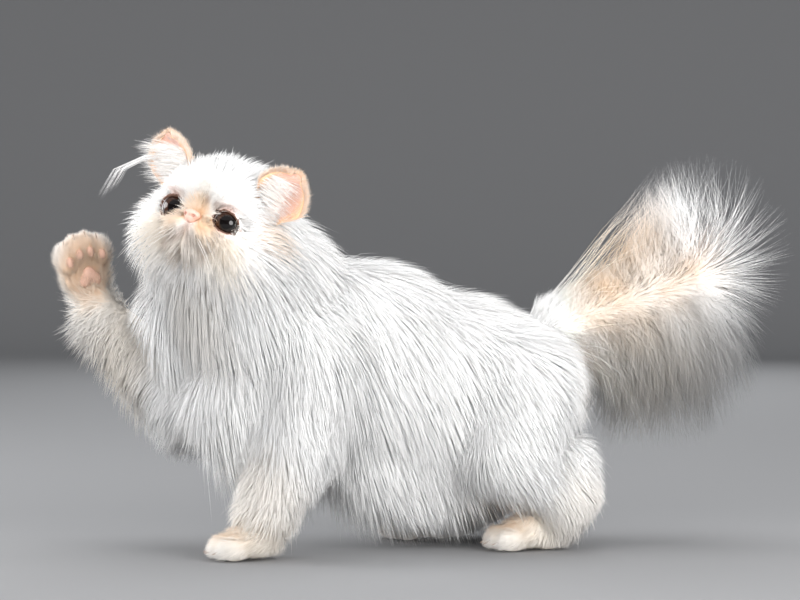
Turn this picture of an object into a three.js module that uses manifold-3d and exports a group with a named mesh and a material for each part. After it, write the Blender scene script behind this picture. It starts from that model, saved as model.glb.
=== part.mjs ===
// A flat-faced, long-haired cat at life size: it stands on three feet, lifts its right forepaw, and looks
// aside and up. Millimetres, +Z up. The cat faces -X and its left side faces -Y. The origin is on the floor
// under the middle of its box. Every solid is the outline of the coat. The body is one smooth distance
// field, meshed once and parted by its regions.
import * as THREE from "three";
import { triTable } from "three/addons/objects/MarchingCubes.js";
import { mergeVertices } from "three/addons/utils/BufferGeometryUtils.js";
import Module from "manifold-3d";

// Driving dimensions
const BODY_YAW = 15; // degrees, the shoulders stand nearer the viewer than the hips
const HEAD_YAW = 20; // degrees to the viewer's left of straight at the viewer
const HEAD_PITCH = 16; // degrees, looking up
const HEAD_ROLL = 15.7; // degrees, leaning to the cat's left
const EYE_SPACING = 50;
const EYE_RADIUS = 11;
const GAP = 0.35;
// Cell of the grid and the most the surface may move when it is thinned
const MESHING = {
  body: { cell: 14, slack: 3.8 },
  head: { cell: 8.5, slack: 2.9 },
  paw: { cell: 5.5, slack: 1.6 },
  nose: { cell: 2.6, slack: 0.5 },
};
const LONGEST_EDGE = 4.5; // cells, when thinned

const COAT = {
  face: 3, brow: 6, crown: 16, cheek: 19, neck: 28, back: 25, chest: 28, rump: 23,
  upperLeg: 20, lowerLeg: 15, hock: 13, paw: 4, tail: 22,
};

const vec = (x, y, z) => new THREE.Vector3(x, y, z);
const radians = THREE.MathUtils.degToRad;

// Frames: each has three unit axes and an origin, and turns its own coordinates into the cat's.
class Frame {
  constructor(origin, first, second) {
    this.origin = origin;
    this.x = first.clone().normalize();
    this.y = second.clone().addScaledVector(this.x, -second.dot(this.x)).normalize();
    this.z = this.x.clone().cross(this.y);
  }
  point(a, b, c) {
    const across = this.origin.clone().addScaledVector(this.x, a).addScaledVector(this.y, b);
    return across.addScaledVector(this.z, c);
  }
  matrix() {
    return new THREE.Matrix4().makeBasis(this.x, this.y, this.z).setPosition(this.origin);
  }
}

const yaw = radians(BODY_YAW);
// Body frame: towards the tail, towards the cat's right side, up.
const ALONG_BODY = vec(Math.cos(yaw), Math.sin(yaw), 0);
const ACROSS_BODY = vec(-Math.sin(yaw), Math.cos(yaw), 0);
const BODY = new Frame(vec(-10, -14, 0), ALONG_BODY, ACROSS_BODY);

// Head frame: forward out of the face, towards the cat's left, up. Its origin is midway between the fronts
// of the eyes.
function headFrame() {
  const turn = radians(HEAD_YAW);
  const pitch = radians(HEAD_PITCH);
  const roll = radians(HEAD_ROLL);
  const ahead = vec(-Math.sin(turn), -Math.cos(turn), 0).multiplyScalar(Math.cos(pitch));
  const forward = ahead.addScaledVector(vec(0, 0, 1), Math.sin(pitch));
  const level = vec(0, 0, 1).cross(forward).normalize();
  const upright = forward.clone().cross(level);
  const left = level.multiplyScalar(Math.cos(roll)).addScaledVector(upright, -Math.sin(roll));
  return new Frame(vec(-188, -135, 293), forward, left);
}
const HEAD = headFrame();

// Distance functions in millimetres, negative inside.
function ball(centre, radii, coat = 0, frame = BODY) {
  const [rx, ry, rz] = radii.map((r) => r + coat);
  const { x, y, z } = frame;
  return (p) => {
    const dx = p.x - centre.x;
    const dy = p.y - centre.y;
    const dz = p.z - centre.z;
    const u = (dx * x.x + dy * x.y + dz * x.z) / rx;
    const v = (dx * y.x + dy * y.y + dz * y.z) / ry;
    const w = (dx * z.x + dy * z.y + dz * z.z) / rz;
    const near = Math.hypot(u, v, w);
    const slope = Math.hypot(u / rx, v / ry, w / rz);
    return slope < 1e-9 ? -Math.min(rx, ry, rz) : (near * (near - 1)) / slope;
  };
}
function limb(from, to, fromRadius, toRadius, coat = 0) {
  const along = to.clone().sub(from);
  const lengthSq = along.lengthSq();
  return (p) => {
    const dx = p.x - from.x;
    const dy = p.y - from.y;
    const dz = p.z - from.z;
    const t = Math.min(1, Math.max(0, (dx * along.x + dy * along.y + dz * along.z) / lengthSq));
    const off = Math.hypot(dx - t * along.x, dy - t * along.y, dz - t * along.z);
    return off - coat - fromRadius - t * (toRadius - fromRadius);
  };
}
const blend = (a, b, width) => {
  const h = Math.max(width - Math.abs(a - b), 0) / width;
  return Math.min(a, b) - (h * h * width) / 4;
};
const union = (fields, width) => (p) => fields.reduce((least, field) => blend(least, field(p), width), 1e3);

// Joints of the skeleton
const JOINT = {
  nape: BODY.point(-108, 0, 208),
  skullBase: HEAD.point(-62, 0, -18),
  shoulderLeft: BODY.point(-96, -40, 180), elbowLeft: vec(-108, -84, 112), wristLeft: vec(-132, -94, 42),
  shoulderRight: BODY.point(-98, 40, 178), elbowRight: vec(-205, -4, 140), wristRight: vec(-281, -12, 206),
  hipLeft: BODY.point(84, -38, 142), kneeLeft: vec(70, -44, 92), hockLeft: vec(125, -34, 50),
  hipRight: BODY.point(80, 38, 142), kneeRight: vec(16, 58, 92), hockRight: vec(58, 56, 48),
};

// Paw frames: towards the toes, towards the cat's left, away from the sole.
const UP = vec(0, 0, 1);
const pawOnFloor = (x, y, heading) => {
  const toes = vec(-Math.cos(radians(heading)), -Math.sin(radians(heading)), 0);
  return new Frame(vec(x, y, 0), toes, UP.clone().cross(toes));
};
const PAW = {
  foreLeft: pawOnFloor(-150, -98, 12),
  hindLeft: pawOnFloor(86, -29, 14),
  hindRight: pawOnFloor(-4, 53, 10),
};
const RAISED_SOLE = vec(0.36, -0.9, -0.16); // the way the raised paw's sole faces
PAW.foreRight = (() => {
  const toes = vec(-0.16, -0.3, 0.93);
  const back = RAISED_SOLE.clone().negate();
  return new Frame(vec(-289, -32, 242), toes, back.cross(toes));
})();

const PAW_SIZE = { width: 23, height: 15, toeSpacing: 9.8, toeReach: 17, toeRadius: 7.6 };
const TOES = [-1.5, -0.5, 0.5, 1.5];

function toeCentre(frame, place) {
  const reach = PAW_SIZE.toeReach - 2.4 * place * place;
  return frame.point(reach, place * PAW_SIZE.toeSpacing, 9.5);
}
function pawFields(frame, ankle) {
  const { height, width } = PAW_SIZE;
  return [
    ball(frame.point(-7, 0, height - 1), [22, width - 4, height - 2], COAT.paw, frame),
    ...TOES.map((place) => ball(toeCentre(frame, place), [13, PAW_SIZE.toeRadius, 9], COAT.paw, frame)),
    limb(frame.point(-12, 0, height + 4), ankle, 13, 13, COAT.paw + 4),
  ];
}

// Fleshy parts with their coat, and the masses of long hair that stand off the body.
const head = (a, b, c, radii, coat) => ball(HEAD.point(a, b, c), radii, coat, HEAD);
const bothSides = (make) => [make(1), make(-1)];
const PARTS = {
  muzzle: [
    ...bothSides((side) => head(-2, side * 10, -14.5, [12.5, 12, 9.5], COAT.face)),
    head(-6, 0, -26, [11, 13, 9], COAT.face + 1),
  ],
  head: [
    head(-50, 0, 10, [44, 46, 42], COAT.crown),
    head(-22, 0, 24, [20, 30, 18], COAT.brow),
    ...bothSides((side) => head(-20, side * 22, 14, [17, 15, 11], COAT.brow)),
    ...bothSides((side) => head(-40, side * 31, -16, [30, 26, 28], COAT.cheek)),
    ...bothSides((side) => head(-17, side * 26, -15, [14, 15, 11], COAT.brow)),
    head(-30, 0, -30, [24, 30, 16], COAT.cheek - 6),
    head(-12, 0, 0, [12, 13, 10], COAT.face),
  ],
  neck: [
    limb(JOINT.nape, JOINT.skullBase, 42, 38, COAT.neck),
    ball(vec(-147, -62, 248), [68, 72, 66]),
    ball(vec(-152, -92, 226), [56, 44, 46]),
    ball(vec(-188, -46, 214), [66, 54, 62]),
  ],
  chest: [
    ball(BODY.point(-54, 0, 176), [82, 54, 66], COAT.back),
    ball(BODY.point(-128, 4, 172), [34, 42, 52], COAT.chest),
    ball(vec(-158, -58, 142), [58, 56, 62]),
  ],
  belly: [
    ball(BODY.point(20, 0, 156), [74, 56, 56], COAT.back),
    ball(BODY.point(-8, 0, 98), [94, 60, 82]),
  ],
  rump: [ball(BODY.point(80, 0, 142), [40, 50, 49], COAT.rump)],
  upper_foreleg_left: [limb(JOINT.shoulderLeft, JOINT.elbowLeft, 32, 22, COAT.upperLeg)],
  forearm_left: [
    limb(JOINT.elbowLeft, JOINT.wristLeft, 18, 15, COAT.lowerLeg + 3),
    ball(vec(-104, -84, 92), [24, 26, 34]),
  ],
  upper_foreleg_right: [
    limb(JOINT.shoulderRight, JOINT.elbowRight, 34, 23, COAT.upperLeg),
    ball(vec(-180, -8, 128), [44, 32, 34]),
  ],
  forearm_right: [limb(JOINT.elbowRight, JOINT.wristRight, 19, 13, COAT.lowerLeg)],
  thigh_left: [limb(JOINT.hipLeft, JOINT.kneeLeft, 42, 28, COAT.upperLeg)],
  shank_left: [
    limb(JOINT.kneeLeft, JOINT.hockLeft, 24, 13, COAT.hock),
    limb(JOINT.hockLeft, PAW.hindLeft.point(-24, 0, 14), 12, 11, COAT.hock - 3),
    ball(vec(130, -26, 80), [22, 26, 30]),
  ],
  thigh_right: [limb(JOINT.hipRight, JOINT.kneeRight, 42, 28, COAT.upperLeg)],
  shank_right: [
    limb(JOINT.kneeRight, JOINT.hockRight, 24, 13, COAT.hock),
    limb(JOINT.hockRight, PAW.hindRight.point(-24, 0, 14), 12, 11, COAT.hock - 3),
  ],
  forepaw_left: pawFields(PAW.foreLeft, JOINT.wristLeft),
  forepaw_right: pawFields(PAW.foreRight, JOINT.wristRight),
  hindpaw_left: pawFields(PAW.hindLeft, PAW.hindLeft.point(-26, 0, 16)),
  hindpaw_right: pawFields(PAW.hindRight, PAW.hindRight.point(-26, 0, 16)),
  tail_base: [
    limb(vec(112, 12, 186), vec(160, 20, 206), 20, 16, COAT.tail - 8),
    ball(vec(168, 22, 160), [38, 34, 76]),
  ],
  tail_middle: [ball(vec(226, 26, 182), [80, 43, 96])],
  tail_tip: [ball(vec(256, 30, 262), [76, 47, 82])],
};
const PAW_BLEND = 4;
const BLEND_WIDTH = { head: 14, muzzle: 7 };
for (const name of Object.keys(PARTS)) if (name.includes("paw")) BLEND_WIDTH[name] = PAW_BLEND;
const BODY_BLEND = 26;

const partField = Object.fromEntries(
  Object.entries(PARTS).map(([name, fields]) => [name, union(fields, BLEND_WIDTH[name] ?? BODY_BLEND)]),
);
const SOCKET = { depth: 9, side: EYE_SPACING / 2 };
const eyeCentre = (side) => HEAD.point(-SOCKET.depth, side * SOCKET.side, 0);
const hollows = bothSides((side) => ball(HEAD.point(4, side * SOCKET.side, -0.5), [12, 11.5, 9.5], 0, HEAD));
const carve = (value, hollow, width) => -blend(-value, hollow, width);

// The whole coat: trunk and legs meet softly, while paws and face keep their own shape.
const fieldsOf = (names) => names.map((name) => partField[name]);
const isPaw = (name) => name.includes("paw");
const softField = union(fieldsOf(Object.keys(PARTS).filter((name) => !isPaw(name) && name !== "muzzle")), 16);
const pawField = union(fieldsOf(Object.keys(PARTS).filter(isPaw)), 1);
function wholeField(p) {
  let value = blend(blend(softField(p), pawField(p), 7), partField.muzzle(p), 7);
  for (const hollow of hollows) value = carve(value, hollow(p), 6);
  return value;
}

// Marching cubes over a box, with one vertex for each crossed edge of the grid.
const CORNERS = [[0, 0, 0], [1, 0, 0], [1, 1, 0], [0, 1, 0], [0, 0, 1], [1, 0, 1], [1, 1, 1], [0, 1, 1]];
const EDGES = [
  [0, 1], [1, 2], [3, 2], [0, 3], [4, 5], [5, 6], [7, 6], [4, 7], [0, 4], [1, 5], [2, 6], [3, 7],
];
const NEAREST_TO_CORNER = 0.1;
const CASE_LENGTH = 16;

function polygonise(field, box, { cell, slack }, level = 0) {
  const size = box.getSize(vec(0, 0, 0));
  const counts = [size.x, size.y, size.z].map((length) => Math.ceil(length / cell) + 1);
  const at = (i, j, k) => i + counts[0] * (j + counts[1] * k);
  const values = new Float64Array(counts[0] * counts[1] * counts[2]);
  const p = vec(0, 0, 0);
  for (let k = 0; k < counts[2]; k++)
    for (let j = 0; j < counts[1]; j++)
      for (let i = 0; i < counts[0]; i++) {
        p.set(box.min.x + i * cell, box.min.y + j * cell, box.min.z + k * cell);
        const onSide = [i, j, k].some((n, axis) => n === 0 || n === counts[axis] - 1);
        const value = field(p) - level;
        values[at(i, j, k)] = onSide ? Math.max(value, cell / 2) : value;
      }
  const positions = [];
  const faces = [];
  const made = new Map();
  const vertexOn = (i, j, k, edge) => {
    const [from, to] = EDGES[edge].map((corner) => CORNERS[corner]);
    const start = at(i + from[0], j + from[1], k + from[2]);
    const axis = from.findIndex((n, place) => n !== to[place]);
    const key = start * 3 + axis;
    if (!made.has(key)) {
      const a = values[start];
      const b = values[at(i + to[0], j + to[1], k + to[2])];
      const t = THREE.MathUtils.clamp(a / (a - b), NEAREST_TO_CORNER, 1 - NEAREST_TO_CORNER);
      const steps = [i + from[0], j + from[1], k + from[2]];
      const place = box.min.toArray().map((low, n) => low + steps[n] * cell);
      place[axis] += t * cell;
      made.set(key, positions.length / 3);
      positions.push(...place);
    }
    return made.get(key);
  };
  for (let k = 0; k < counts[2] - 1; k++)
    for (let j = 0; j < counts[1] - 1; j++)
      for (let i = 0; i < counts[0] - 1; i++) {
        let kind = 0;
        CORNERS.forEach(([a, b, c], bit) => {
          if (values[at(i + a, j + b, k + c)] > 0) kind |= 1 << bit;
        });
        for (let n = kind * CASE_LENGTH; triTable[n] !== -1 && n < (kind + 1) * CASE_LENGTH; n += 3)
          faces.push(...[0, 1, 2].map((corner) => vertexOn(i, j, k, triTable[n + corner])));
      }
  const thin = thinned(positions, faces, slack, LONGEST_EDGE * cell);
  return solidFrom(new Float32Array(thin.positions), new Uint32Array(thin.faces));
}

// Thinning a closed mesh: the flattest edges collapse first, to their middle or to an end, as long as the
// new corner stays within the slack of the old faces' planes, no face turns over and the surface stays closed.
const PASSES = 12;
const LEAST_TURN = 0.4; // cosine between a face before and after
const LEAST_WIDTH = 0.14; // of a face against its longest side
function thinned(positions, faces, slack, longest) {
  const points = [];
  for (let i = 0; i < positions.length; i += 3) points.push(vec(0, 0, 0).fromArray(positions, i));
  const triangles = new Map();
  const around = points.map(() => new Set());
  const planes = points.map(() => new Set());
  for (let i = 0; i < faces.length; i += 3) {
    const triangle = [faces[i], faces[i + 1], faces[i + 2]];
    const plane = new THREE.Plane().setFromCoplanarPoints(...triangle.map((n) => points[n]));
    triangles.set(i, triangle);
    for (const n of triangle) {
      around[n].add(i);
      planes[n].add(plane);
    }
  }
  const neighbours = (n) => new Set([...around[n]].flatMap((index) => triangles.get(index)));
  const normalOf = ([a, b, c]) => b.clone().sub(a).cross(c.clone().sub(a));
  const misfit = (place, near) => Math.max(...near.map((plane) => Math.abs(plane.distanceToPoint(place))));
  const staysSound = (triangle, from, to, place) => {
    if (triangle.includes(from) && triangle.includes(to)) return true;
    const corners = triangle.map((n) => (n === from || n === to ? place : points[n]));
    const before = normalOf(triangle.map((n) => points[n]));
    const after = normalOf(corners);
    const longestSq = Math.max(...corners.map((corner, n) => corner.distanceToSquared(corners[(n + 1) % 3])));
    const turn = after.dot(before) / (after.length() * before.length());
    return turn > LEAST_TURN && after.length() > longestSq * LEAST_WIDTH;
  };
  for (let pass = 0; pass < PASSES; pass++) {
    const edges = [];
    for (const [a, b, c] of triangles.values())
      for (const [from, to] of [[a, b], [b, c], [c, a]]) {
        if (from > to || points[from].distanceTo(points[to]) > longest) continue;
        const near = [...planes[from], ...planes[to]];
        const places = [0.5, 0, 1].map((share) => points[from].clone().lerp(points[to], share));
        const errors = places.map((place) => misfit(place, near));
        const error = Math.min(...errors);
        if (error < slack) edges.push({ from, to, error, place: places[errors.indexOf(error)] });
      }
    edges.sort((a, b) => a.error - b.error);
    const moved = new Set();
    for (const { from, to, place } of edges) {
      if (moved.has(from) || moved.has(to)) continue;
      const fromRing = neighbours(from);
      if ([...neighbours(to)].filter((n) => fromRing.has(n)).length !== 4) continue;
      const touching = [...around[from], ...around[to]].map((index) => triangles.get(index));
      if (!touching.every((triangle) => staysSound(triangle, from, to, place))) continue;
      for (const index of around[to]) {
        const triangle = triangles.get(index);
        if (triangle.includes(from)) {
          for (const n of triangle) if (n !== to) around[n].delete(index);
          triangles.delete(index);
        } else {
          triangles.set(index, triangle.map((n) => (n === to ? from : n)));
          around[from].add(index);
        }
      }
      around[to].clear();
      points[from].copy(place);
      for (const plane of planes[to]) planes[from].add(plane);
      moved.add(from).add(to);
    }
    if (!moved.size) break;
  }
  const kept = [...triangles.values()].flat();
  const renumbered = new Map([...new Set(kept)].map((n, index) => [n, index]));
  return {
    positions: [...renumbered.keys()].flatMap((n) => points[n].toArray()),
    faces: kept.map((n) => renumbered.get(n)),
  };
}

// Joining and cutting
const wasm = await Module();
wasm.setup();

function solidFrom(vertProperties, triVerts) {
  const made = new wasm.Manifold(new wasm.Mesh({ numProp: 3, vertProperties, triVerts }));
  if (made.volume() > 0) return made;
  const turned = triVerts.map((corner, n) => triVerts[n % 3 === 0 ? n : n % 3 === 1 ? n + 1 : n - 1]);
  return new wasm.Manifold(new wasm.Mesh({ numProp: 3, vertProperties, triVerts: turned }));
}
function solidOf(geometry) {
  const bare = geometry.clone();
  bare.deleteAttribute("normal");
  bare.deleteAttribute("uv");
  const merged = mergeVertices(bare, 1e-3);
  return solidFrom(new Float32Array(merged.attributes.position.array), new Uint32Array(merged.index.array));
}
const largest = (solid) => solid.decompose().reduce((best, one) => (one.volume() > best.volume() ? one : best));

function geometryOf(solid) {
  const { vertProperties, triVerts, numProp } = solid.getMesh();
  if (numProp !== 3) throw new Error("a solid carries more than positions");
  const geometry = new THREE.BufferGeometry();
  geometry.setAttribute("position", new THREE.BufferAttribute(new Float32Array(vertProperties), 3));
  geometry.setIndex(new THREE.BufferAttribute(new Uint32Array(triVerts), 1));
  const flat = geometry.toNonIndexed();
  flat.computeVertexNormals();
  return flat;
}
function boxAround(centre, half) {
  return new THREE.Box3(centre.clone().subScalar(half), centre.clone().addScalar(half));
}

// The coat meshed at three sizes of cell: the body, then the head and the paws, which carry finer shapes.
const WHOLE_BOX = new THREE.Box3(vec(-352, -215, -22), vec(362, 130, 392));
const floor = solidOf(new THREE.BoxGeometry(900, 600, 60).translate(0, 0, -30));
const meshed = (box, meshing) => polygonise(wholeField, box, meshing).subtract(floor);
const fine = (centre, half, meshing) => () => meshed(boxAround(centre, half), meshing);

const finePaw = (key, middle, half) => fine(PAW[key].point(...middle), half, MESHING.paw);

// Cuts: each part is what one box holds of the coat that the parts before it left. Sides are low and high
// for each axis of the frame.
const WORLD = new Frame(vec(0, 0, 0), vec(1, 0, 0), vec(0, 1, 0));
const along = (from, to, side) => new Frame(from, to.clone().sub(from), side);
const NECK_AXIS = vec(-0.535, -0.43, 0.727);
const SIDEWAYS = vec(0, 1, 0);
const nape = new Frame(vec(-141, -69, 261), NECK_AXIS, SIDEWAYS);
const withers = new Frame(vec(-112, -40, 206), NECK_AXIS, SIDEWAYS);
const armRight = along(JOINT.shoulderRight, JOINT.elbowRight, SIDEWAYS);
const foreRight = along(JOINT.elbowRight, JOINT.wristRight, SIDEWAYS);
const FAR = 400;
const CUTS = [
  ["muzzle", HEAD, [-10, 60], [-26, 26], [-60, -7], fine(HEAD.point(-6, 0, -18), 42, MESHING.paw)],
  ["head", nape, [0, 300], [-104, 104], [-112, 112], fine(HEAD.point(-46, 0, 4), 118, MESHING.head)],
  ["forepaw_left", WORLD, [-200, -80], [-150, -50], [-9, 36], finePaw("foreLeft", [-2, 0, 24], 54)],
  ["forepaw_right", PAW.foreRight, [-26, 70], [-50, 50], [-40, 60], finePaw("foreRight", [-2, 0, 18], 56)],
  ["hindpaw_left", WORLD, [40, 112], [-75, 10], [-9, 36], finePaw("hindLeft", [-2, 0, 24], 56)],
  ["hindpaw_right", WORLD, [-60, 22], [22, 95], [-9, 36], finePaw("hindRight", [-2, 0, 24], 56)],
  ["forearm_left", WORLD, [-180, -66], [-150, -50], [36, 98]],
  ["upper_foreleg_left", BODY, [-132, -48], [-160, -52], [98, 200]],
  ["forearm_right", foreRight, [2, 200], [-60, 60], [-60, 60]],
  ["upper_foreleg_right", armRight, [52, 160], [-60, 60], [-60, 60]],
  ["shank_left", WORLD, [30, 200], [-90, 14], [-9, 72]],
  ["thigh_left", BODY, [22, 142], [-150, -38], [72, 200]],
  ["shank_right", WORLD, [-12, 120], [20, 120], [-9, 72]],
  ["thigh_right", BODY, [8, 142], [38, 150], [72, 200]],
  ["tail_tip", WORLD, [140, FAR], [-FAR, FAR], [224, FAR]],
  ["tail_middle", WORLD, [196, FAR], [-FAR, FAR], [0, 224]],
  ["tail_base", WORLD, [132, 196], [-FAR, FAR], [84, 224]],
  ["neck", withers, [0, 300], [-150, 150], [-150, 150]],
  ["rump", BODY, [46, 300], [-FAR, FAR], [-FAR, FAR]],
  ["belly", BODY, [-26, 46], [-FAR, FAR], [-FAR, FAR]],
  ["chest", BODY, [-FAR, -26], [-FAR, FAR], [-FAR, FAR]],
];
function cutBox(frame, sides, grown) {
  const size = sides.map(([low, high]) => high - low + 2 * grown);
  const middle = sides.map(([low, high]) => (low + high) / 2);
  const block = new THREE.BoxGeometry(...size).translate(...middle);
  return solidOf(block.applyMatrix4(frame.matrix()));
}
function partAll() {
  const parted = {};
  let rest = meshed(WHOLE_BOX, MESHING.body);
  const taken = [];
  for (const [name, frame, x, y, z, source] of CUTS) {
    let piece = (source ? source() : rest).intersect(cutBox(frame, [x, y, z], 0));
    const grown = cutBox(frame, [x, y, z], GAP);
    if (source) for (const other of taken) piece = piece.subtract(other);
    parted[name] = largest(piece);
    taken.push(grown);
    rest = rest.subtract(grown);
  }
  return parted;
}
const solids = partAll();

// Ears: a cupped shell, wide in its middle and round at its tip, with its hollow towards the front and the
// side. The near ear leans out further than the far one. Places are in the head's frame, for the left side.
const EAR = { height: 46, halfWidth: 24, cup: 13, thickness: 5, across: 6, along: 5, root: [-30, 45, 20] };
const EAR_TIP = { left: [-13, 70, 59], right: [-13, 62, 60] };

function earSolid(side, earTip) {
  const root = HEAD.point(EAR.root[0], side * EAR.root[1], EAR.root[2]);
  const tip = HEAD.point(earTip[0], side * earTip[1], earTip[2]);
  const openTowards = HEAD.point(1, side * 0.42, 0.1).sub(HEAD.origin);
  const frame = new Frame(root, tip.clone().sub(root), openTowards);
  const { height, halfWidth, cup, thickness, across, along } = EAR;
  const positions = [];
  for (const back of [0, 1])
    for (let i = 0; i <= along; i++)
      for (let j = 0; j <= across; j++) {
        const v = i / along;
        const u = (2 * j) / across - 1;
        const waist = 0.55 + 0.45 * THREE.MathUtils.smoothstep(v, 0, 0.5);
        const half = halfWidth * Math.sqrt(1 - 0.95 * v ** 3) * waist;
        const dish = cup * (1 - u * u) * (1 - 0.75 * v);
        const rim = Math.min(1, 2.2 * (1 - Math.abs(u))) * Math.min(1, 4 * (1 - v));
        const lift = -dish - back * thickness * (0.35 + 0.65 * rim);
        positions.push(...frame.point(height * v - 4 * u * u * v, lift, half * u * side).toArray());
      }
  const row = across + 1;
  const sheet = row * (along + 1);
  const at = (back, i, j) => back * sheet + i * row + j;
  const faces = [];
  const quad = (a, b, c, d) => faces.push(a, b, c, a, c, d);
  for (let i = 0; i < along; i++)
    for (let j = 0; j < across; j++) {
      quad(at(0, i, j), at(0, i + 1, j), at(0, i + 1, j + 1), at(0, i, j + 1));
      quad(at(1, i, j), at(1, i, j + 1), at(1, i + 1, j + 1), at(1, i + 1, j));
    }
  for (let i = 0; i < along; i++) {
    quad(at(0, i, 0), at(1, i, 0), at(1, i + 1, 0), at(0, i + 1, 0));
    quad(at(0, i, across), at(0, i + 1, across), at(1, i + 1, across), at(1, i, across));
  }
  for (let j = 0; j < across; j++) {
    quad(at(0, 0, j), at(0, 0, j + 1), at(1, 0, j + 1), at(1, 0, j));
    quad(at(0, along, j), at(1, along, j), at(1, along, j + 1), at(0, along, j + 1));
  }
  return solidFrom(new Float32Array(positions), new Uint32Array(faces));
}
for (const [side, key] of [[1, "left"], [-1, "right"]]) {
  const rise = HEAD.point(0.1, side * 0.5, 1).sub(HEAD.origin).setLength(2 * GAP);
  const lifted = solidOf(geometryOf(solids.head).translate(...rise.toArray()));
  solids[`ear_${key}`] = largest(earSolid(side, EAR_TIP[key]).subtract(solids.head).subtract(lifted));
}

// Eyes: a globe with a clear bulge in front, sunk in its socket.
const EYE_PROFILE_STEPS = 8;
function eyeSolid(side, grown = 0) {
  const profile = [];
  for (let i = 0; i <= EYE_PROFILE_STEPS; i++) {
    const angle = (Math.PI * i) / EYE_PROFILE_STEPS;
    const bulge = 1.4 * Math.max(0, Math.cos(angle) - 0.55) / 0.45;
    const r = EYE_RADIUS + bulge + grown;
    profile.push(new THREE.Vector2(i % EYE_PROFILE_STEPS ? r * Math.sin(angle) : 0, -r * Math.cos(angle)));
  }
  const globe = new THREE.LatheGeometry(profile, 12).rotateX(Math.PI);
  const gaze = HEAD.point(1, side * 0.28, 0.02).sub(HEAD.origin);
  const frame = new Frame(eyeCentre(side), HEAD.z, gaze);
  return solidOf(globe.applyMatrix4(frame.matrix()));
}

// Nose leather: a short wide wedge between the eyes, with its two nostrils hollowed.
const noseField = (() => {
  const pad = union([
    ball(HEAD.point(7, 0, -3), [7, 8.5, 4.4], 0, HEAD),
    ball(HEAD.point(8, 0, -7), [5, 4.6, 4], 0, HEAD),
  ], 3);
  const nostrils = bothSides((side) => ball(HEAD.point(14, side * 4.4, -5), [4, 1.9, 1.5], 0, HEAD));
  return (p) => nostrils.reduce((value, nostril) => carve(value, nostril(p), 1), pad(p));
})();
const NOSE_BOX = boxAround(HEAD.point(7, 0, -5), 17);

const noseSeat = polygonise(noseField, NOSE_BOX, MESHING.nose, GAP + MESHING.nose.slack);
for (const name of ["head", "muzzle"]) {
  let cut = solids[name].subtract(noseSeat);
  for (const side of [1, -1]) cut = cut.subtract(eyeSolid(side, GAP));
  solids[name] = largest(cut);
}
solids.eye_left = eyeSolid(1);
solids.eye_right = eyeSolid(-1);
const nose = polygonise(noseField, NOSE_BOX, MESHING.nose);
solids.nose = largest(nose.subtract(eyeSolid(1, GAP)).subtract(eyeSolid(-1, GAP)));

// Claws: a short curved cone at the end of each toe, of which only the tip leaves the fur.
const CLAW = { length: 9, radius: 1.7, bend: 2.2, sides: 4, steps: 2 };
function clawSolid(frame, place, grown = 0) {
  const cone = new THREE.ConeGeometry(CLAW.radius + grown, CLAW.length + 2 * grown, CLAW.sides, CLAW.steps);
  const point = cone.attributes.position;
  for (let i = 0; i < point.count; i++) {
    const out = point.getY(i) / CLAW.length + 0.5;
    point.setZ(i, point.getZ(i) - CLAW.bend * out * out);
  }
  const start = toeCentre(frame, place).addScaledVector(frame.x, 15).addScaledVector(frame.z, -1.5);
  const seat = new Frame(start, frame.y.clone().negate(), frame.x);
  return solidOf(cone.applyMatrix4(seat.matrix()));
}
// Pads of the raised paw: one broad pad in the palm and one under each toe.
const palmPad = { name: "pad_palm", centre: PAW.foreRight.point(-5, 0, -1), radii: [9, 11, 4] };
const toPad = PAW.foreRight.point(1, 0, -11.5).sub(PAW.foreRight.origin); // from the middle of a toe
const toePads = TOES.map((place, i) => ({
  name: `pad_toe_${i + 1}`,
  centre: toeCentre(PAW.foreRight, place).add(toPad),
  radii: [6, 4.2, 3],
}));
function padSolid({ centre, radii }, grown = 0) {
  const dome = new THREE.SphereGeometry(1, 8, 4).scale(...radii.map((r) => r + grown));
  return solidOf(dome.applyMatrix4(new Frame(centre, PAW.foreRight.x, PAW.foreRight.y).matrix()));
}

const PAW_NODES = {
  foreLeft: "forepaw_left", foreRight: "forepaw_right", hindLeft: "hindpaw_left", hindRight: "hindpaw_right",
};
for (const [key, node] of Object.entries(PAW_NODES)) {
  TOES.forEach((place, i) => {
    solids[node] = solids[node].subtract(clawSolid(PAW[key], place, GAP));
    solids[`claw_${node.replace("paw", "")}_${i + 1}`] = clawSolid(PAW[key], place);
  });
}
for (const pad of [palmPad, ...toePads]) {
  solids.forepaw_right = solids.forepaw_right.subtract(padSolid(pad, GAP));
  solids[pad.name] = padSolid(pad);
}
for (const node of Object.values(PAW_NODES)) solids[node] = largest(solids[node]);

// Finishes
const finish = (color, roughness) => new THREE.MeshStandardMaterial({ color, roughness, metalness: 0 });
const FINISH = {
  coat: finish(0xf3f0ee, 0.9),
  points: finish(0xe9c8a4, 0.9),
  eye: finish(0x2a1512, 0.1),
  nose: finish(0xd9a18c, 0.5),
  pad: finish(0xd8a894, 0.6),
  claw: finish(0xb79a86, 0.4),
};
function finishOf(name) {
  if (name.startsWith("eye")) return FINISH.eye;
  if (name.startsWith("claw")) return FINISH.claw;
  if (name.startsWith("pad")) return FINISH.pad;
  if (name === "nose") return FINISH.nose;
  return /paw|ear|tail/.test(name) ? FINISH.points : FINISH.coat;
}

const cat = new THREE.Group();
for (const [name, solid] of Object.entries(solids)) {
  const mesh = new THREE.Mesh(geometryOf(solid), finishOf(name));
  mesh.name = name;
  cat.add(mesh);
}
const middle = new THREE.Box3().setFromObject(cat).getCenter(vec(0, 0, 0));
cat.position.set(-middle.x, -middle.y, 0);

export default cat;
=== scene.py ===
import math

import bmesh
import bpy
import numpy as np
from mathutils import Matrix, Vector
from mathutils.kdtree import KDTree


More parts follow.
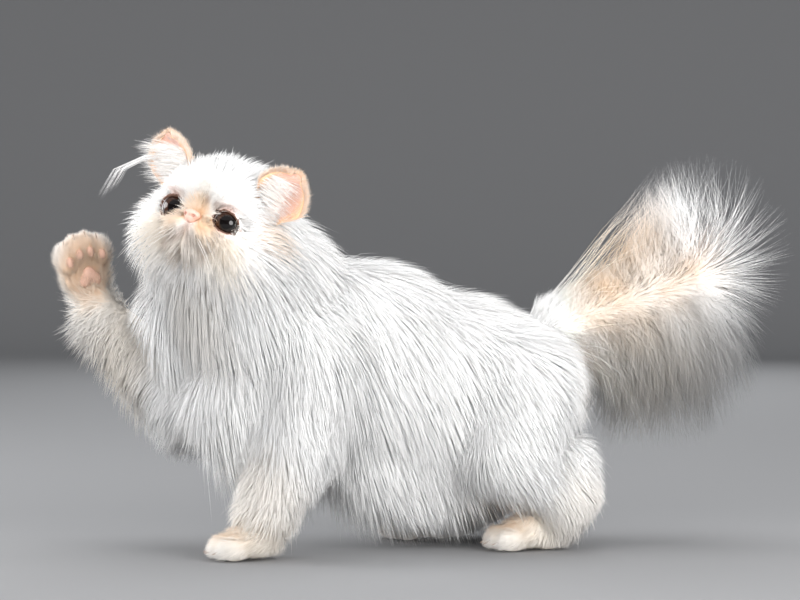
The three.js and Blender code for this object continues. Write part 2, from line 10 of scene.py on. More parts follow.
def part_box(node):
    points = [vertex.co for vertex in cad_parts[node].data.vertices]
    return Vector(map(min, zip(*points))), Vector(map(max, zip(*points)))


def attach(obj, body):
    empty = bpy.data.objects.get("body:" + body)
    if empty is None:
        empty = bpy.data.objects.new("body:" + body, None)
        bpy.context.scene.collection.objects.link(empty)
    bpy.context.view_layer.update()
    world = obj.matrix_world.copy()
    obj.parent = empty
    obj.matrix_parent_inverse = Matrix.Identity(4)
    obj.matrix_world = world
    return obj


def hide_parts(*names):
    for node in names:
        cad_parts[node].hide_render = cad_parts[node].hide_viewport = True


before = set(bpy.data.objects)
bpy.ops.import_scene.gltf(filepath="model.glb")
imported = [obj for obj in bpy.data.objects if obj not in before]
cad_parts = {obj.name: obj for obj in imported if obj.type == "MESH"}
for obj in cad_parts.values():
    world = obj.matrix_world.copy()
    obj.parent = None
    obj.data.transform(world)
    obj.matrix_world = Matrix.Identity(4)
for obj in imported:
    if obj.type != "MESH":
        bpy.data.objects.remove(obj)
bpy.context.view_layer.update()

RNG = np.random.default_rng(20)

# The cat is worked out in millimetres where it stood before the camera, facing -X with its left side to -Y.
MM = 0.001
BODY_YAW = math.radians(15)
HEAD_YAW = math.radians(20)
HEAD_PITCH = math.radians(16)
HEAD_ROLL = math.radians(15.7)
EYE_SPACING = 50.0
EYE_RADIUS = 11.0
EYE_DEPTH = 9.0


def vec(*numbers):
    return np.array(numbers, float)


def unit(v):
    return v / np.maximum(np.linalg.norm(v, axis=-1, keepdims=True), 1e-9)


# Frames of the body
class Frame:
    """Three unit axes and an origin. point() turns the frame's own coordinates into the stage's."""

    def __init__(self, origin, first, second):
        self.origin = np.asarray(origin, float)
        x = unit(np.asarray(first, float))
        y = unit(second - x * np.dot(second, x))
        self.axes = np.array([x, y, np.cross(x, y)])

    def point(self, a, b, c):
        return self.origin + np.array([a, b, c]) @ self.axes

    def direction(self, a, b, c):
        return np.array([a, b, c]) @ self.axes

    def local(self, points):
        return (points - self.origin) @ self.axes.T


def head_frame():
    """Between the eyes: its first axis points out of the face, the second to the cat's left, the third up."""
    forward = vec(-math.sin(HEAD_YAW) * math.cos(HEAD_PITCH), -math.cos(HEAD_YAW) * math.cos(HEAD_PITCH),
                  math.sin(HEAD_PITCH))
    level = unit(np.cross(vec(0, 0, 1), forward))
    upright = np.cross(forward, level)
    return Frame(vec(-188, -135, 293), forward, level * math.cos(HEAD_ROLL) - upright * math.sin(HEAD_ROLL))


def paw_on_floor(x, y, heading):
    turn = math.radians(heading)
    toes = vec(-math.cos(turn), -math.sin(turn), 0)
    return Frame(vec(x, y, 0), toes, np.cross(vec(0, 0, 1), toes))


BODY = Frame(vec(-10, -14, 0), vec(math.cos(BODY_YAW), math.sin(BODY_YAW), 0),
             vec(-math.sin(BODY_YAW), math.cos(BODY_YAW), 0))
HEAD = head_frame()
RAISED_SOLE = vec(0.36, -0.9, -0.16)
RAISED_TOES = vec(-0.16, -0.3, 0.93)
PAWS = {
    "forepaw_left": paw_on_floor(-150, -98, 12),
    "forepaw_right": Frame(vec(-289, -32, 242), RAISED_TOES, np.cross(-RAISED_SOLE, RAISED_TOES)),
    "hindpaw_left": paw_on_floor(86, -29, 14),
    "hindpaw_right": paw_on_floor(-4, 53, 10),
}
TOES = (-1.5, -0.5, 0.5, 1.5)
TOE_SPACING = 9.8

NAPE = BODY.point(-108, 0, 208)
SKULL_BASE = HEAD.point(-62, 0, -18)
SHOULDER_LEFT, ELBOW_LEFT, WRIST_LEFT = BODY.point(-96, -40, 180), vec(-108, -84, 112), vec(-132, -94, 42)
SHOULDER_RIGHT, ELBOW_RIGHT, WRIST_RIGHT = BODY.point(-98, 40, 178), vec(-205, -4, 140), vec(-281, -12, 206)
HIP_LEFT, KNEE_LEFT, HOCK_LEFT = BODY.point(84, -38, 142), vec(70, -44, 92), vec(125, -34, 50)
HIP_RIGHT, KNEE_RIGHT, HOCK_RIGHT = BODY.point(80, 38, 142), vec(16, 58, 92), vec(58, 56, 48)
TAIL_LINE = np.array([(106, 12, 182), (140, 16, 199), (172, 20, 212), (202, 23, 222), (230, 25, 232)], float)


def toe_centre(paw, place):
    return paw.point(17 - 2.4 * place * place, place * TOE_SPACING, 9.5)


def eye_centre(side):
    return HEAD.point(-EYE_DEPTH, side * EYE_SPACING / 2, 0)


# Distance fields
def egg(centre, radii, coat, frame_of=BODY):
    """An ellipsoid of flesh with a depth of coat over it."""

    def distance(points, grown):
        r = np.array(radii, float) + coat * grown
        q = (points - centre) @ frame_of.axes.T
        near = np.linalg.norm(q / r, axis=1)
        slope = np.maximum(np.linalg.norm(q / (r * r), axis=1), 1e-9)
        return near * (near - 1) / slope

    return distance


def limb(start, end, start_radius, end_radius, coat):
    """A round-ended tapered rod of flesh with a depth of coat over it."""
    run = end - start

    def distance(points, grown):
        t = np.clip((points - start) @ run / (run @ run), 0, 1)
        off = np.linalg.norm(points - start - t[:, None] * run, axis=1)
        return off - coat * grown - start_radius - t * (end_radius - start_radius)

    return distance


def blend(a, b, width):
    h = np.maximum(width - np.abs(a - b), 0) / width
    return np.minimum(a, b) - h * h * width / 4


def head_egg(a, b, c, radii, coat):
    return egg(HEAD.point(a, b, c), radii, coat, HEAD)


def paw_masses(paw, ankle):
    return [
        egg(paw.point(-7, 0, 14), (22, 19, 13), 4, paw),
        *(egg(toe_centre(paw, place), (13, 7.6, 9), 4, paw) for place in TOES),
        limb(paw.point(-12, 0, 19), ankle, 13, 13, 8),
    ]


def both(make):
    return [make(side) for side in (1, -1)]


MASSES = {
    "muzzle": [
        *both(lambda side: head_egg(-2, side * 10, -14.5, (12.5, 12, 9.5), 3)),
        head_egg(-6, 0, -26, (11, 13, 9), 4),
    ],
    "head": [
        head_egg(-50, 0, 10, (44, 46, 42), 16),
        head_egg(-22, 0, 24, (20, 30, 18), 6),
        *both(lambda side: head_egg(-20, side * 22, 14, (17, 15, 11), 6)),
        *both(lambda side: head_egg(-40, side * 31, -16, (30, 26, 28), 19)),
        *both(lambda side: head_egg(-17, side * 26, -15, (14, 15, 11), 6)),
        head_egg(-30, 0, -30, (24, 30, 16), 13),
        head_egg(-12, 0, 0, (12, 13, 10), 3),
    ],
    "neck": [
        limb(NAPE, SKULL_BASE, 42, 38, 28),
        egg(vec(-147, -62, 248), (38, 42, 36), 30),
        egg(vec(-152, -92, 226), (28, 18, 20), 27),
        egg(vec(-188, -46, 214), (38, 26, 34), 28),
    ],
    "chest": [
        egg(BODY.point(-54, 0, 176), (82, 54, 66), 25),
        egg(BODY.point(-128, 4, 172), (34, 42, 52), 28),
        egg(vec(-158, -58, 142), (28, 26, 32), 30),
    ],
    "belly": [
        egg(BODY.point(20, 0, 156), (74, 56, 56), 25),
        egg(BODY.point(-8, 0, 98), (58, 24, 42), 38),
    ],
    "rump": [egg(BODY.point(80, 0, 142), (40, 50, 49), 23)],
    "upper_foreleg_left": [limb(SHOULDER_LEFT, ELBOW_LEFT, 32, 22, 20)],
    "forearm_left": [limb(ELBOW_LEFT, WRIST_LEFT, 18, 15, 18), egg(vec(-104, -84, 92), (8, 10, 16), 16)],
    "upper_foreleg_right": [
        limb(SHOULDER_RIGHT, ELBOW_RIGHT, 34, 23, 20),
        egg(vec(-180, -8, 128), (22, 12, 14), 20),
    ],
    "forearm_right": [limb(ELBOW_RIGHT, WRIST_RIGHT, 19, 13, 15)],
    "thigh_left": [limb(HIP_LEFT, KNEE_LEFT, 42, 28, 20)],
    "shank_left": [
        limb(KNEE_LEFT, HOCK_LEFT, 24, 13, 13),
        limb(HOCK_LEFT, PAWS["hindpaw_left"].point(-24, 0, 14), 12, 11, 10),
        egg(vec(130, -26, 80), (8, 12, 14), 15),
    ],
    "thigh_right": [limb(HIP_RIGHT, KNEE_RIGHT, 42, 28, 20)],
    "shank_right": [
        limb(KNEE_RIGHT, HOCK_RIGHT, 24, 13, 13),
        limb(HOCK_RIGHT, PAWS["hindpaw_right"].point(-24, 0, 14), 12, 11, 10),
    ],
    "forepaw_left": paw_masses(PAWS["forepaw_left"], WRIST_LEFT),
    "forepaw_right": paw_masses(PAWS["forepaw_right"], WRIST_RIGHT),
    "hindpaw_left": paw_masses(PAWS["hindpaw_left"], PAWS["hindpaw_left"].point(-26, 0, 16)),
    "hindpaw_right": paw_masses(PAWS["hindpaw_right"], PAWS["hindpaw_right"].point(-26, 0, 16)),
}
TAIL_FLESH = [limb(TAIL_LINE[i], TAIL_LINE[i + 1], 16 - 2 * i, 14 - 2 * i, 10) for i in range(4)]
TAIL_PLUME = [
    limb(vec(112, 12, 186), vec(160, 20, 206), 34, 30, 0),
    egg(vec(168, 22, 160), (38, 34, 76), 0),
    egg(vec(226, 26, 182), (80, 43, 96), 0),
    egg(vec(256, 30, 262), (76, 47, 82), 0),
]
PART_NAMES = [*MASSES, "tail"]
PAW_NAMES = tuple(PAWS)
# How widely the masses of one part flow together, and the parts with their neighbours
MASS_BLEND = 26
MASS_BLENDS = {"head": 14, "muzzle": 7, **{name: 4 for name in PAW_NAMES}}
TAIL_FLESH_BLEND = 10
PART_BLEND, FINE_BLEND = 16, 7
# The skin of the long-haired parts lies this share of the coat's depth above the flesh
SKIN_LEVEL = 0.25
SHORT_HAIRED = ("head", "muzzle", *PAW_NAMES)


def union(masses, width, points, grown):
    value = masses[0](points, grown)
    for mass in masses[1:]:
        value = blend(value, mass(points, grown), width)
    return value


def plume_field(points):
    return union(TAIL_PLUME, MASS_BLEND, points, 0)


def part_distances(points, grown):
    """One row for each part. The skin lies a little way into the coat where the coat is long."""
    rows = [union(masses, MASS_BLENDS.get(name, MASS_BLEND), points,
                  max(grown, 0 if name in SHORT_HAIRED else SKIN_LEVEL))
            for name, masses in MASSES.items()]
    rows.append(plume_field(points) if grown else union(TAIL_FLESH, TAIL_FLESH_BLEND, points, 0))
    return np.array(rows)


def joined(rows):
    soft = None
    paws = None
    for name, row in zip(PART_NAMES, rows):
        if name == "muzzle":
            continue
        if name in PAW_NAMES:
            paws = row if paws is None else np.minimum(paws, row)
        else:
            soft = row if soft is None else blend(soft, row, PART_BLEND)
    return blend(blend(soft, paws, FINE_BLEND), rows[PART_NAMES.index("muzzle")], FINE_BLEND)


def coat_field(points):
    """Distance to the outline of the coat."""
    return joined(part_distances(points, 1))


# Eyelids: a shell round each eye with an almond opening along the eye's own axis. Width and height are
# measured from the opening's middle. Side 1 is the cat's left, -1 its right.
LID_IN, LID_THICK, LID_RIM = 0.35, 2.1, 1.3
SOCKET_ROOM = 0.8
OPENING = {"width": 12.2, "height": 9.6, "slant": 1.6, "lower": 0.93}
OPENING_TURN = {1: 0.26, -1: 0.0}
FACE_REACH = 75


def eye_frame(side):
    outward = HEAD.direction(1, OPENING_TURN[side], 0.0)
    return Frame(eye_centre(side), outward, HEAD.direction(0, 1, 0))


EYES = {1: eye_frame(1), -1: eye_frame(-1)}


def opening(points, side):
    """Below 1 where the lids are open."""
    q = EYES[side].local(points)
    across = q[:, 1] * side / OPENING["width"]
    tilt = q[:, 2] + OPENING["slant"] * across
    high = OPENING["height"] * np.where(tilt > 0, 1.0, OPENING["lower"])
    edge = np.clip(1 - np.abs(across) ** 2.3, 0.02, 1) ** 0.65
    return np.maximum(np.abs(tilt) / (high * edge), np.abs(across)), q[:, 0]


def flesh_field(points):
    value = joined(part_distances(points, 0))
    near_face = np.linalg.norm(points - HEAD.origin, axis=1) < FACE_REACH
    if near_face.any():
        p = points[near_face]
        v = value[near_face]
        for side in (1, -1):
            away = np.linalg.norm(p - eye_centre(side), axis=1)
            ball = away - EYE_RADIUS
            v = -blend(-v, ball - LID_THICK - SOCKET_ROOM, 3.0)
            gap, front = opening(p, side)
            shell = np.abs(ball - LID_IN - LID_THICK / 2) - LID_THICK / 2
            open_cut = np.where(front > 0, (1 - gap) * 7, -9)
            lid = -blend(-shell, -open_cut, 0.6)
            brow_shade = blend(v, lid, 3.2)
            v = np.where(front > -4, brow_shade, v)
        value[near_face] = v
    return value


def settle(field, points, most, step=0.5):
    """Moves points onto the field's zero surface, each by no more than the given distance."""
    start = points
    for _ in range(3):
        base = field(points)
        rise = np.stack([field(points + step * axis) - base for axis in np.eye(3)], axis=1) / step
        move = -base[:, None] * rise / np.maximum((rise ** 2).sum(1, keepdims=True), 0.15)
        points = start + np.clip(points + move - start, -most, most)
    return points


POINTS_AT_ONCE = 150000


def surface_net(field, low, high, step, coarse=4):
    """Vertices and quads of the field's zero surface on a cubic grid, worked out only near that surface."""
    cells = np.ceil((high - low) / (step * coarse)).astype(int)
    middles = [low[n] + step * coarse * (np.arange(cells[n]) + 0.5) for n in range(3)]
    centres = np.stack(np.meshgrid(*middles, indexing="ij"), axis=-1).reshape(-1, 3)
    rough = field(centres).reshape(cells)
    active = np.abs(rough) < step * coarse * 1.3

    def spread(cell_values):
        for axis in range(3):
            cell_values = np.repeat(cell_values, coarse, axis)
        return cell_values

    counts = cells * coarse + 1
    values = np.pad(np.where(spread(rough) < 0, -1.0, 1.0), [(0, 1)] * 3, mode="edge")
    wanted = np.zeros(counts, bool)
    near = spread(active)
    for corner in np.ndindex(2, 2, 2):
        wanted[tuple(slice(c, c + n) for c, n in zip(corner, near.shape))] |= near
    index = np.argwhere(wanted)
    batches = np.array_split(index, 1 + len(index) // POINTS_AT_ONCE)
    values[wanted] = np.concatenate([field(low + step * batch) for batch in batches])
    inside = values < 0
    corners = sum(inside[tuple(slice(c, c + n) for c, n in zip(corner, counts - 1))].astype(np.int8)
                  for corner in np.ndindex(2, 2, 2))
    mixed = (corners > 0) & (corners < 8)
    number = np.full(mixed.shape, -1)
    number[mixed] = np.arange(mixed.sum())
    vertices = low + step * (np.argwhere(mixed) + 0.5)
    quads = []
    for axis in range(3):
        b, c = (axis + 1) % 3, (axis + 2) % 3
        first = [slice(1, -1)] * 3
        second = [slice(1, -1)] * 3
        first[axis], second[axis] = slice(0, -1), slice(1, None)
        change = inside[tuple(first)].astype(np.int8) - inside[tuple(second)].astype(np.int8)
        at = np.argwhere(change != 0)
        leaving = change[tuple(at.T)] > 0
        at[:, b] += 1
        at[:, c] += 1
        ring = []
        for db, dc in ((-1, -1), (0, -1), (0, 0), (-1, 0)):
            cell = at + db * np.eye(3, dtype=int)[b] + dc * np.eye(3, dtype=int)[c]
            ring.append(number[tuple(cell.T)])
        ring = np.stack(ring, axis=1)
        ring[~leaving] = ring[~leaving][:, ::-1]
        quads.append(ring)
    return settle(field, vertices, step), np.concatenate(quads)


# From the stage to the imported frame
def stage_shift():
    """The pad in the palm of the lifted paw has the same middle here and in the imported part."""
    low, high = (np.array(corner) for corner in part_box("pad_palm"))
    return (low + high) / 2 - PAWS["forepaw_right"].point(-5, 0, -1) * MM


SHIFT = stage_shift()


def placed(points):
    return points * MM + SHIFT


def new_object(name, mesh):
    thing = bpy.data.objects.new(name, mesh)
    bpy.context.scene.collection.objects.link(thing)
    return thing


def shade_smooth(mesh):
    mesh.polygons.foreach_set("use_smooth", np.ones(len(mesh.polygons), bool))


def mesh_from(name, points, faces):
    """points in stage millimetres, faces as one array with the same number of corners each."""
    mesh = bpy.data.meshes.new(name)
    sides = faces.shape[1]
    mesh.vertices.add(len(points))
    mesh.vertices.foreach_set("co", placed(points).astype(np.float32).ravel())
    mesh.loops.add(faces.size)
    mesh.loops.foreach_set("vertex_index", faces.astype(np.int32).ravel())
    mesh.polygons.add(len(faces))
    mesh.polygons.foreach_set("loop_start", np.arange(0, faces.size, sides, dtype=np.int32))
    mesh.update(calc_edges=True)
    shade_smooth(mesh)
    return mesh


def points_of(mesh):
    flat = np.empty(len(mesh.vertices) * 3, np.float32)
    mesh.vertices.foreach_get("co", flat)
    return (flat.reshape(-1, 3).astype(float) - SHIFT) / MM


def set_points(mesh, points):
    mesh.vertices.foreach_set("co", placed(points).astype(np.float32).ravel())
    mesh.update()


def set_colours(mesh, colours):
    layer = mesh.color_attributes.new("marking", "FLOAT_COLOR", "POINT")
    rgba = np.ones((len(mesh.vertices), 4), np.float32)
    rgba[:, :3] = colours
    layer.data.foreach_set("color", rgba.ravel())


# Markings, with painted shade over the face, in its creases and in the lifted paw's wrist crease
WHITE = vec(0.955, 0.95, 0.95)
CREAM = vec(0.90, 0.80, 0.67)
APRICOT = vec(0.86, 0.57, 0.34)
DEEP_APRICOT = vec(0.74, 0.44, 0.25)
SKIN_PINK = vec(0.72, 0.44, 0.37)
BROWN = vec(0.22, 0.12, 0.085)
SMOKE = vec(0.57, 0.47, 0.38)
FACE_CREAM_AND_SHADE = vec(0.85, 0.79, 0.72)
BRIDGE_CREASE_SHADE = vec(0.30, 0.22, 0.13)
PALM = vec(0.78, 0.52, 0.34)
WRIST_CREASE_SHADOW = vec(0.42, 0.22, 0.10)
BRIGHTEST = 0.96


def smooth(low, high, x):
    t = np.clip((x - low) / (high - low), 0, 1)
    return t * t * (3 - 2 * t)


def patch(points, centre, radius, soft=0.5):
    """1 in the middle of a round spot, 0 outside it."""
    return 1 - smooth(soft, 1, np.linalg.norm((points - centre) / radius, axis=1))


def tint(colours, colour, amount):
    return colours + (colour - colours) * np.clip(amount, 0, 1)[:, None]


def ripple(points, size, seed):
    """A smooth wandering value about 0, made of a few waves of about the given size."""
    waves = np.random.default_rng(seed)
    total = np.zeros(len(points))
    for _ in range(6):
        way = unit(waves.normal(size=3)) * (2 * math.pi / (size * waves.uniform(0.7, 1.6)))
        total += np.sin(points @ way + waves.uniform(0, 6.3))
    return total / 3


def plain(colour, count):
    return np.repeat(colour[None], count, 0)


# The plume's spots: how far back and up the middle is, how far the spot reaches that way, colour, strength
PLUME_SPOTS = (
    (165, 200, 125, 125, CREAM, 0.9),
    (195, 150, 100, 85, CREAM, 0.7),
    (166, 246, 50, 96, APRICOT, 0.9),
    (200, 284, 36, 50, APRICOT, 0.7),
    (226, 240, 56, 46, APRICOT, 0.7),
    (180, 200, 76, 40, APRICOT, 0.5),
    (242, 250, 15, 18, DEEP_APRICOT, 0.5),
    (214, 226, 18, 13, DEEP_APRICOT, 0.5),
    (136, 164, 24, 26, DEEP_APRICOT, 0.6),
)
PLUME_MIDDLE, PLUME_DEPTH = 22, 90


def plume_colours(points):
    """Apricot up the tail's front edge and round its end, cream beneath and white at the back."""
    colours = plain(WHITE, len(points))
    wander = 1 + 0.35 * ripple(points, 34, 8)
    for x, z, across, up, colour, strength in PLUME_SPOTS:
        amount = patch(points, vec(x, PLUME_MIDDLE, z), vec(across, PLUME_DEPTH, up), 0.1)
        colours = tint(colours, colour, amount * strength * wander)
    return colours


def markings_and_shade(points):
    """The colour of skin and hair at each point, with painted shade over the face, in its creases and in the
    lifted paw's wrist crease.
    """
    colours = plain(WHITE, len(points))
    head = HEAD.local(points)
    wander = ripple(points, 26, 3) * 0.18

    def on_head(a, b, c, radius, colour, strength, soft=0.2):
        nonlocal colours
        amount = patch(head, vec(a, b, c), vec(*radius), soft) * strength
        colours = tint(colours, colour, amount * (1 + wander))

    # bridge of the nose, the crease above it, the inner corners of the eyes and the cheeks below them; the
    # dark olive in the crease above the bridge and the smoke grey at the inner corners are painted shade
    # cream over the whole face, greyed as painted shade so the face reads darker than the lit body
    on_head(4, 0, -6, (36, 66, 44), FACE_CREAM_AND_SHADE, 0.7)
    on_head(2, 0, 3, (18, 12, 15), APRICOT, 0.95, 0.45)
    on_head(4, 1, -1, (18, 8, 8), DEEP_APRICOT, 0.6, 0.3)
    # painted shade: dark olive in the crease above the bridge of the nose
    on_head(2, 3, 12, (18, 6, 8), BRIDGE_CREASE_SHADE, 0.5)
    on_head(2, 0, 24, (22, 9, 16), CREAM, 0.4)
    for side in (1, -1):
        on_head(2, side * 14, -10, (18, 12, 15), APRICOT * 0.96, 1.0, 0.45)
        on_head(-4, side * 28, -20, (26, 20, 14), APRICOT, 0.85 if side > 0 else 0.6)
        on_head(-8, side * 30, -26, (34, 34, 28), CREAM, 0.85)
        # painted shade: smoke grey in the crease at the inner corners of the eyes
        on_head(2, side * 15, 8, (16, 6, 6), SMOKE, 0.35)
        on_head(-30, side * 52, 8, (18, 20, 26), APRICOT, 0.7 if side > 0 else 0.35)
    # painted shade: darker pink in the folds over the upper lids and dark brown in the crease beside the
    # bridge
    for side in (1, -1):
        on_head(-2, side * 24, 12, (16, 13, 4.5), SKIN_PINK * 0.8, 0.6)
        on_head(2, side * 14, 9, (14, 6, 6), BROWN * 1.6, 0.5)
    on_head(4, 5, 10, (16, 4, 9), BROWN * 1.8, 0.5)
    # whisker pads and chin, brownish where the hair parts
    on_head(8, 0, -17, (16, 8, 9), SKIN_PINK, 0.5)
    on_head(4, 0, -30, (22, 28, 22), SMOKE * 1.05, 0.8, 0.4)
    on_head(8, 0, -14, (12, 2.4, 7), BROWN, 0.55)
    for side in (1, -1):
        on_head(5, side * 7, -21, (12, 8, 2.6), BROWN * 1.4, 0.5)
        on_head(2, side * 15, -26, (14, 5, 7), BROWN * 2.2, 0.35)
    on_head(-30, 0, -60, (40, 50, 30), CREAM, 0.35)
    for side in (1, -1):
        gap, front = opening(points, side)
        rim = (front > -2) * (1 - smooth(1.0, 1.30, gap))
        colours = tint(colours, SKIN_PINK * 0.62, rim * 0.85)
        colours = tint(colours, BROWN * 0.6, (front > -2) * (1 - smooth(0.95, 1.10, gap)) * 0.8)

    # paws and lower legs
    for name, paw in PAWS.items():
        local = paw.local(points)
        lifted = name == "forepaw_right"
        colours = tint(colours, CREAM, patch(local, vec(-4, 0, 16), vec(56, 46, 48), 0.3) * 0.9)
        top = vec(4, 0, 12) if lifted else vec(4, -4, 20)
        colours = tint(colours, APRICOT, patch(local, top, vec(34, 30, 22), 0.3) * 0.9)
        if lifted:
            colours = tint(colours, PALM, patch(local, vec(2, 0, 2), vec(44, 30, 28), 0.5) * 0.92)
            # painted shadow: an orange-brown streak in the crease between the lifted paw and the wrist
            colours = tint(colours, WRIST_CREASE_SHADOW, patch(local, vec(-19, -18, 2), vec(15, 6, 12), 0.2) * 0.85)
    colours = tint(colours, CREAM, patch(points, WRIST_LEFT + vec(0, 0, 20), vec(48, 48, 70), 0.2) * 0.6)
    colours = tint(colours, CREAM, patch(points, WRIST_RIGHT + vec(22, 0, -22), vec(60, 50, 66), 0.2) * 0.8)
    colours = tint(colours, CREAM, patch(points, HOCK_LEFT, vec(48, 48, 48), 0.2) * 0.6)

    on_tail = smooth(112, 135, points[:, 0]) * smooth(70, 110, points[:, 2])
    colours = colours + (plume_colours(points) - colours) * on_tail[:, None]
    return np.clip(colours, 0.01, 0.95)


# The skin
SKIN_STEP = 3.4
FLESH_NODES = ["head", "muzzle", "neck", "chest", "belly", "rump", "tail_base", "tail_middle", "tail_tip"] + [
    name + side for name in ("upper_foreleg", "forearm", "forepaw", "thigh", "shank", "hindpaw")
    for side in ("_left", "_right")]


def refine(mesh, inside):
    """Splits the edges whose two ends are both inside, then settles the new corners on the skin."""
    chosen = inside(points_of(mesh))
    work = bmesh.new()
    work.from_mesh(mesh)
    work.verts.ensure_lookup_table()
    edges = [edge for edge in work.edges if chosen[edge.verts[0].index] and chosen[edge.verts[1].index]]
    bmesh.ops.subdivide_edges(work, edges=edges, cuts=1, use_grid_fill=True)
    bmesh.ops.triangulate(work, faces=[face for face in work.faces if len(face.verts) > 4])
    work.to_mesh(mesh)
    work.free()


def around_face(points):
    q = HEAD.local(points)
    return (q[:, 0] > -34) & (np.abs(q[:, 1]) < 46) & (q[:, 2] > -42) & (q[:, 2] < 36)


def around_eyes(points):
    q = HEAD.local(points)
    return (q[:, 0] > -14) & (np.abs(q[:, 1]) < 41) & (q[:, 2] > -22) & (q[:, 2] < 16)


def around_paws(points):
    return np.any([(np.abs(paw.local(points) - vec(4, 0, 14)) < vec(36, 30, 24)).all(axis=1)
                   for paw in PAWS.values()], axis=0)


def make_skin():
    low, high = vec(-345, -210, -6), vec(290, 125, 360)
    points, quads = surface_net(flesh_field, low, high, SKIN_STEP)
    mesh = mesh_from("skin", points, quads)
    for region in (around_face, around_eyes, around_paws):
        refine(mesh, region)
        points = points_of(mesh)
        fine = region(points)
        points[fine] = settle(flesh_field, points[fine], SKIN_STEP, 0.3)
        set_points(mesh, points)
    points = points_of(mesh)
    points[:, 2] = np.maximum(points[:, 2], 0.0)
    set_points(mesh, points)
    shade_smooth(mesh)
    set_colours(mesh, markings_and_shade(points))
    return new_object("skin", mesh)


def unwrap(thing):
    """Lays the skin flat in many charts, on the map that the coat's roots share."""
    thing.data.uv_layers.new(name="OFBake")
    bpy.context.view_layer.objects.active = thing
    thing.select_set(True)
    bpy.ops.object.mode_set(mode="EDIT")
    bpy.ops.mesh.select_all(action="SELECT")
    bpy.ops.uv.smart_project(angle_limit=math.radians(70), island_margin=0.002)
    bpy.ops.object.mode_set(mode="OBJECT")
    thing.select_set(False)


# The coat
class Skin:
    """The skin's triangles, with what the coat needs to know at each of its roots."""

    def __init__(self, thing):
        mesh = thing.data
        mesh.calc_loop_triangles()
        count = len(mesh.loop_triangles)
        corners = np.empty(count * 3, np.int32)
        loops = np.empty(count * 3, np.int32)
        mesh.loop_triangles.foreach_get("vertices", corners)
        mesh.loop_triangles.foreach_get("loops", loops)
        normals = np.empty(len(mesh.vertices) * 3, np.float32)
        mesh.vertices.foreach_get("normal", normals)
        uvs = np.empty(len(mesh.loops) * 2, np.float32)
        mesh.uv_layers["OFBake"].data.foreach_get("uv", uvs)
        points = points_of(mesh)
        self.corners = points[corners.reshape(-1, 3)]
        self.normals = normals.reshape(-1, 3)[corners.reshape(-1, 3)].astype(float)
        self.uvs = uvs.reshape(-1, 2)[loops.reshape(-1, 3)].astype(float)
        a, b, c = self.corners.transpose(1, 0, 2)
        self.areas = np.linalg.norm(np.cross(b - a, c - a), axis=1) / 2
        self.middles = self.corners.mean(axis=1)

    def scatter(self, density):
        """Roots with density per square millimetre, given for each triangle."""
        share = self.areas * density
        count = int(share.sum())
        picked = np.searchsorted(np.cumsum(share), RNG.uniform(0, share.sum(), count))
        picked = np.minimum(picked, len(share) - 1)
        u, v = RNG.uniform(size=(2, count))
        flip = u + v > 1
        u[flip], v[flip] = 1 - u[flip], 1 - v[flip]
        weights = np.stack([1 - u - v, u, v], axis=1)[:, :, None]
        return ((self.corners[picked] * weights).sum(1), unit((self.normals[picked] * weights).sum(1)),
                (self.uvs[picked] * weights).sum(1))


# Lie of the coat in each long-haired part: the way it is combed, its length and how wide a tuft is. Where
# parts meet, the three are mixed. The tail's own hair has its way and length from fan_out.
COMB = {
    "neck": (vec(0.30, 0, -0.95), 52, 0.85),
    "chest": (vec(0.30, 0, -0.95), 48, 0.85),
    "belly": (vec(0.50, 0, -0.87), 46, 0.85),
    "rump": (vec(0.62, 0, -0.78), 44, 0.85),
    "upper_foreleg_left": (vec(0.25, 0, -0.97), 42, 0.85),
    "forearm_left": (vec(0.22, 0, -0.97), 30, 0.85),
    "upper_foreleg_right": (vec(-0.35, -0.1, -0.93), 42, 0.85),
    "forearm_right": (vec(-0.58, -0.1, -0.80), 34, 0.85),
    "thigh_left": (vec(0.45, 0, -0.89), 42, 0.85),
    "shank_left": (vec(0.35, 0, -0.93), 27, 0.85),
    "thigh_right": (vec(0.45, 0, -0.89), 42, 0.85),
    "shank_right": (vec(0.35, 0, -0.93), 27, 0.85),
    "tail": (vec(0.9, 0, 0.4), 70, 0.72),
}
PAW_LENGTH, TOE_SHORTER, PAW_WIDTH = 11.0, 6.0, 0.6
MUZZLE_WIDTH = 0.55
COAT_LAYERS = 10.0  # how many tufts lie over each other
TAIL_TUFTS = 2.5  # for each square millimetre of the tail's skin


def part_weights(points):
    rows = part_distances(points, 0)
    weights = np.exp(-(rows - rows.min(0)) / 9.0)
    return weights / weights.sum(0)


def tail_place(points):
    """How far along the tail each point is, from 0 to 1, and the way the tail runs there."""
    lengths = np.linalg.norm(np.diff(TAIL_LINE, axis=0), axis=1)
    starts = np.concatenate([[0], np.cumsum(lengths)])
    best = np.full(len(points), 1e9)
    place = np.zeros(len(points))
    heading = np.zeros((len(points), 3))
    for n, length in enumerate(lengths):
        run = (TAIL_LINE[n + 1] - TAIL_LINE[n]) / length
        t = np.clip((points - TAIL_LINE[n]) @ run, 0, length)
        off = np.linalg.norm(points - TAIL_LINE[n] - t[:, None] * run, axis=1)
        closer = off < best
        best[closer], place[closer], heading[closer] = off[closer], (starts[n] + t[closer]) / starts[-1], run
    return place, heading


# The fan of the tail's hair: its lowest and highest angle in degrees at five stations along the tail
TAIL_STATIONS = (0, 0.25, 0.5, 0.75, 1)
TAIL_LOWEST = (-124, -122, -114, -98, -78)
TAIL_HIGHEST = (78, 106, 130, 142, 150)


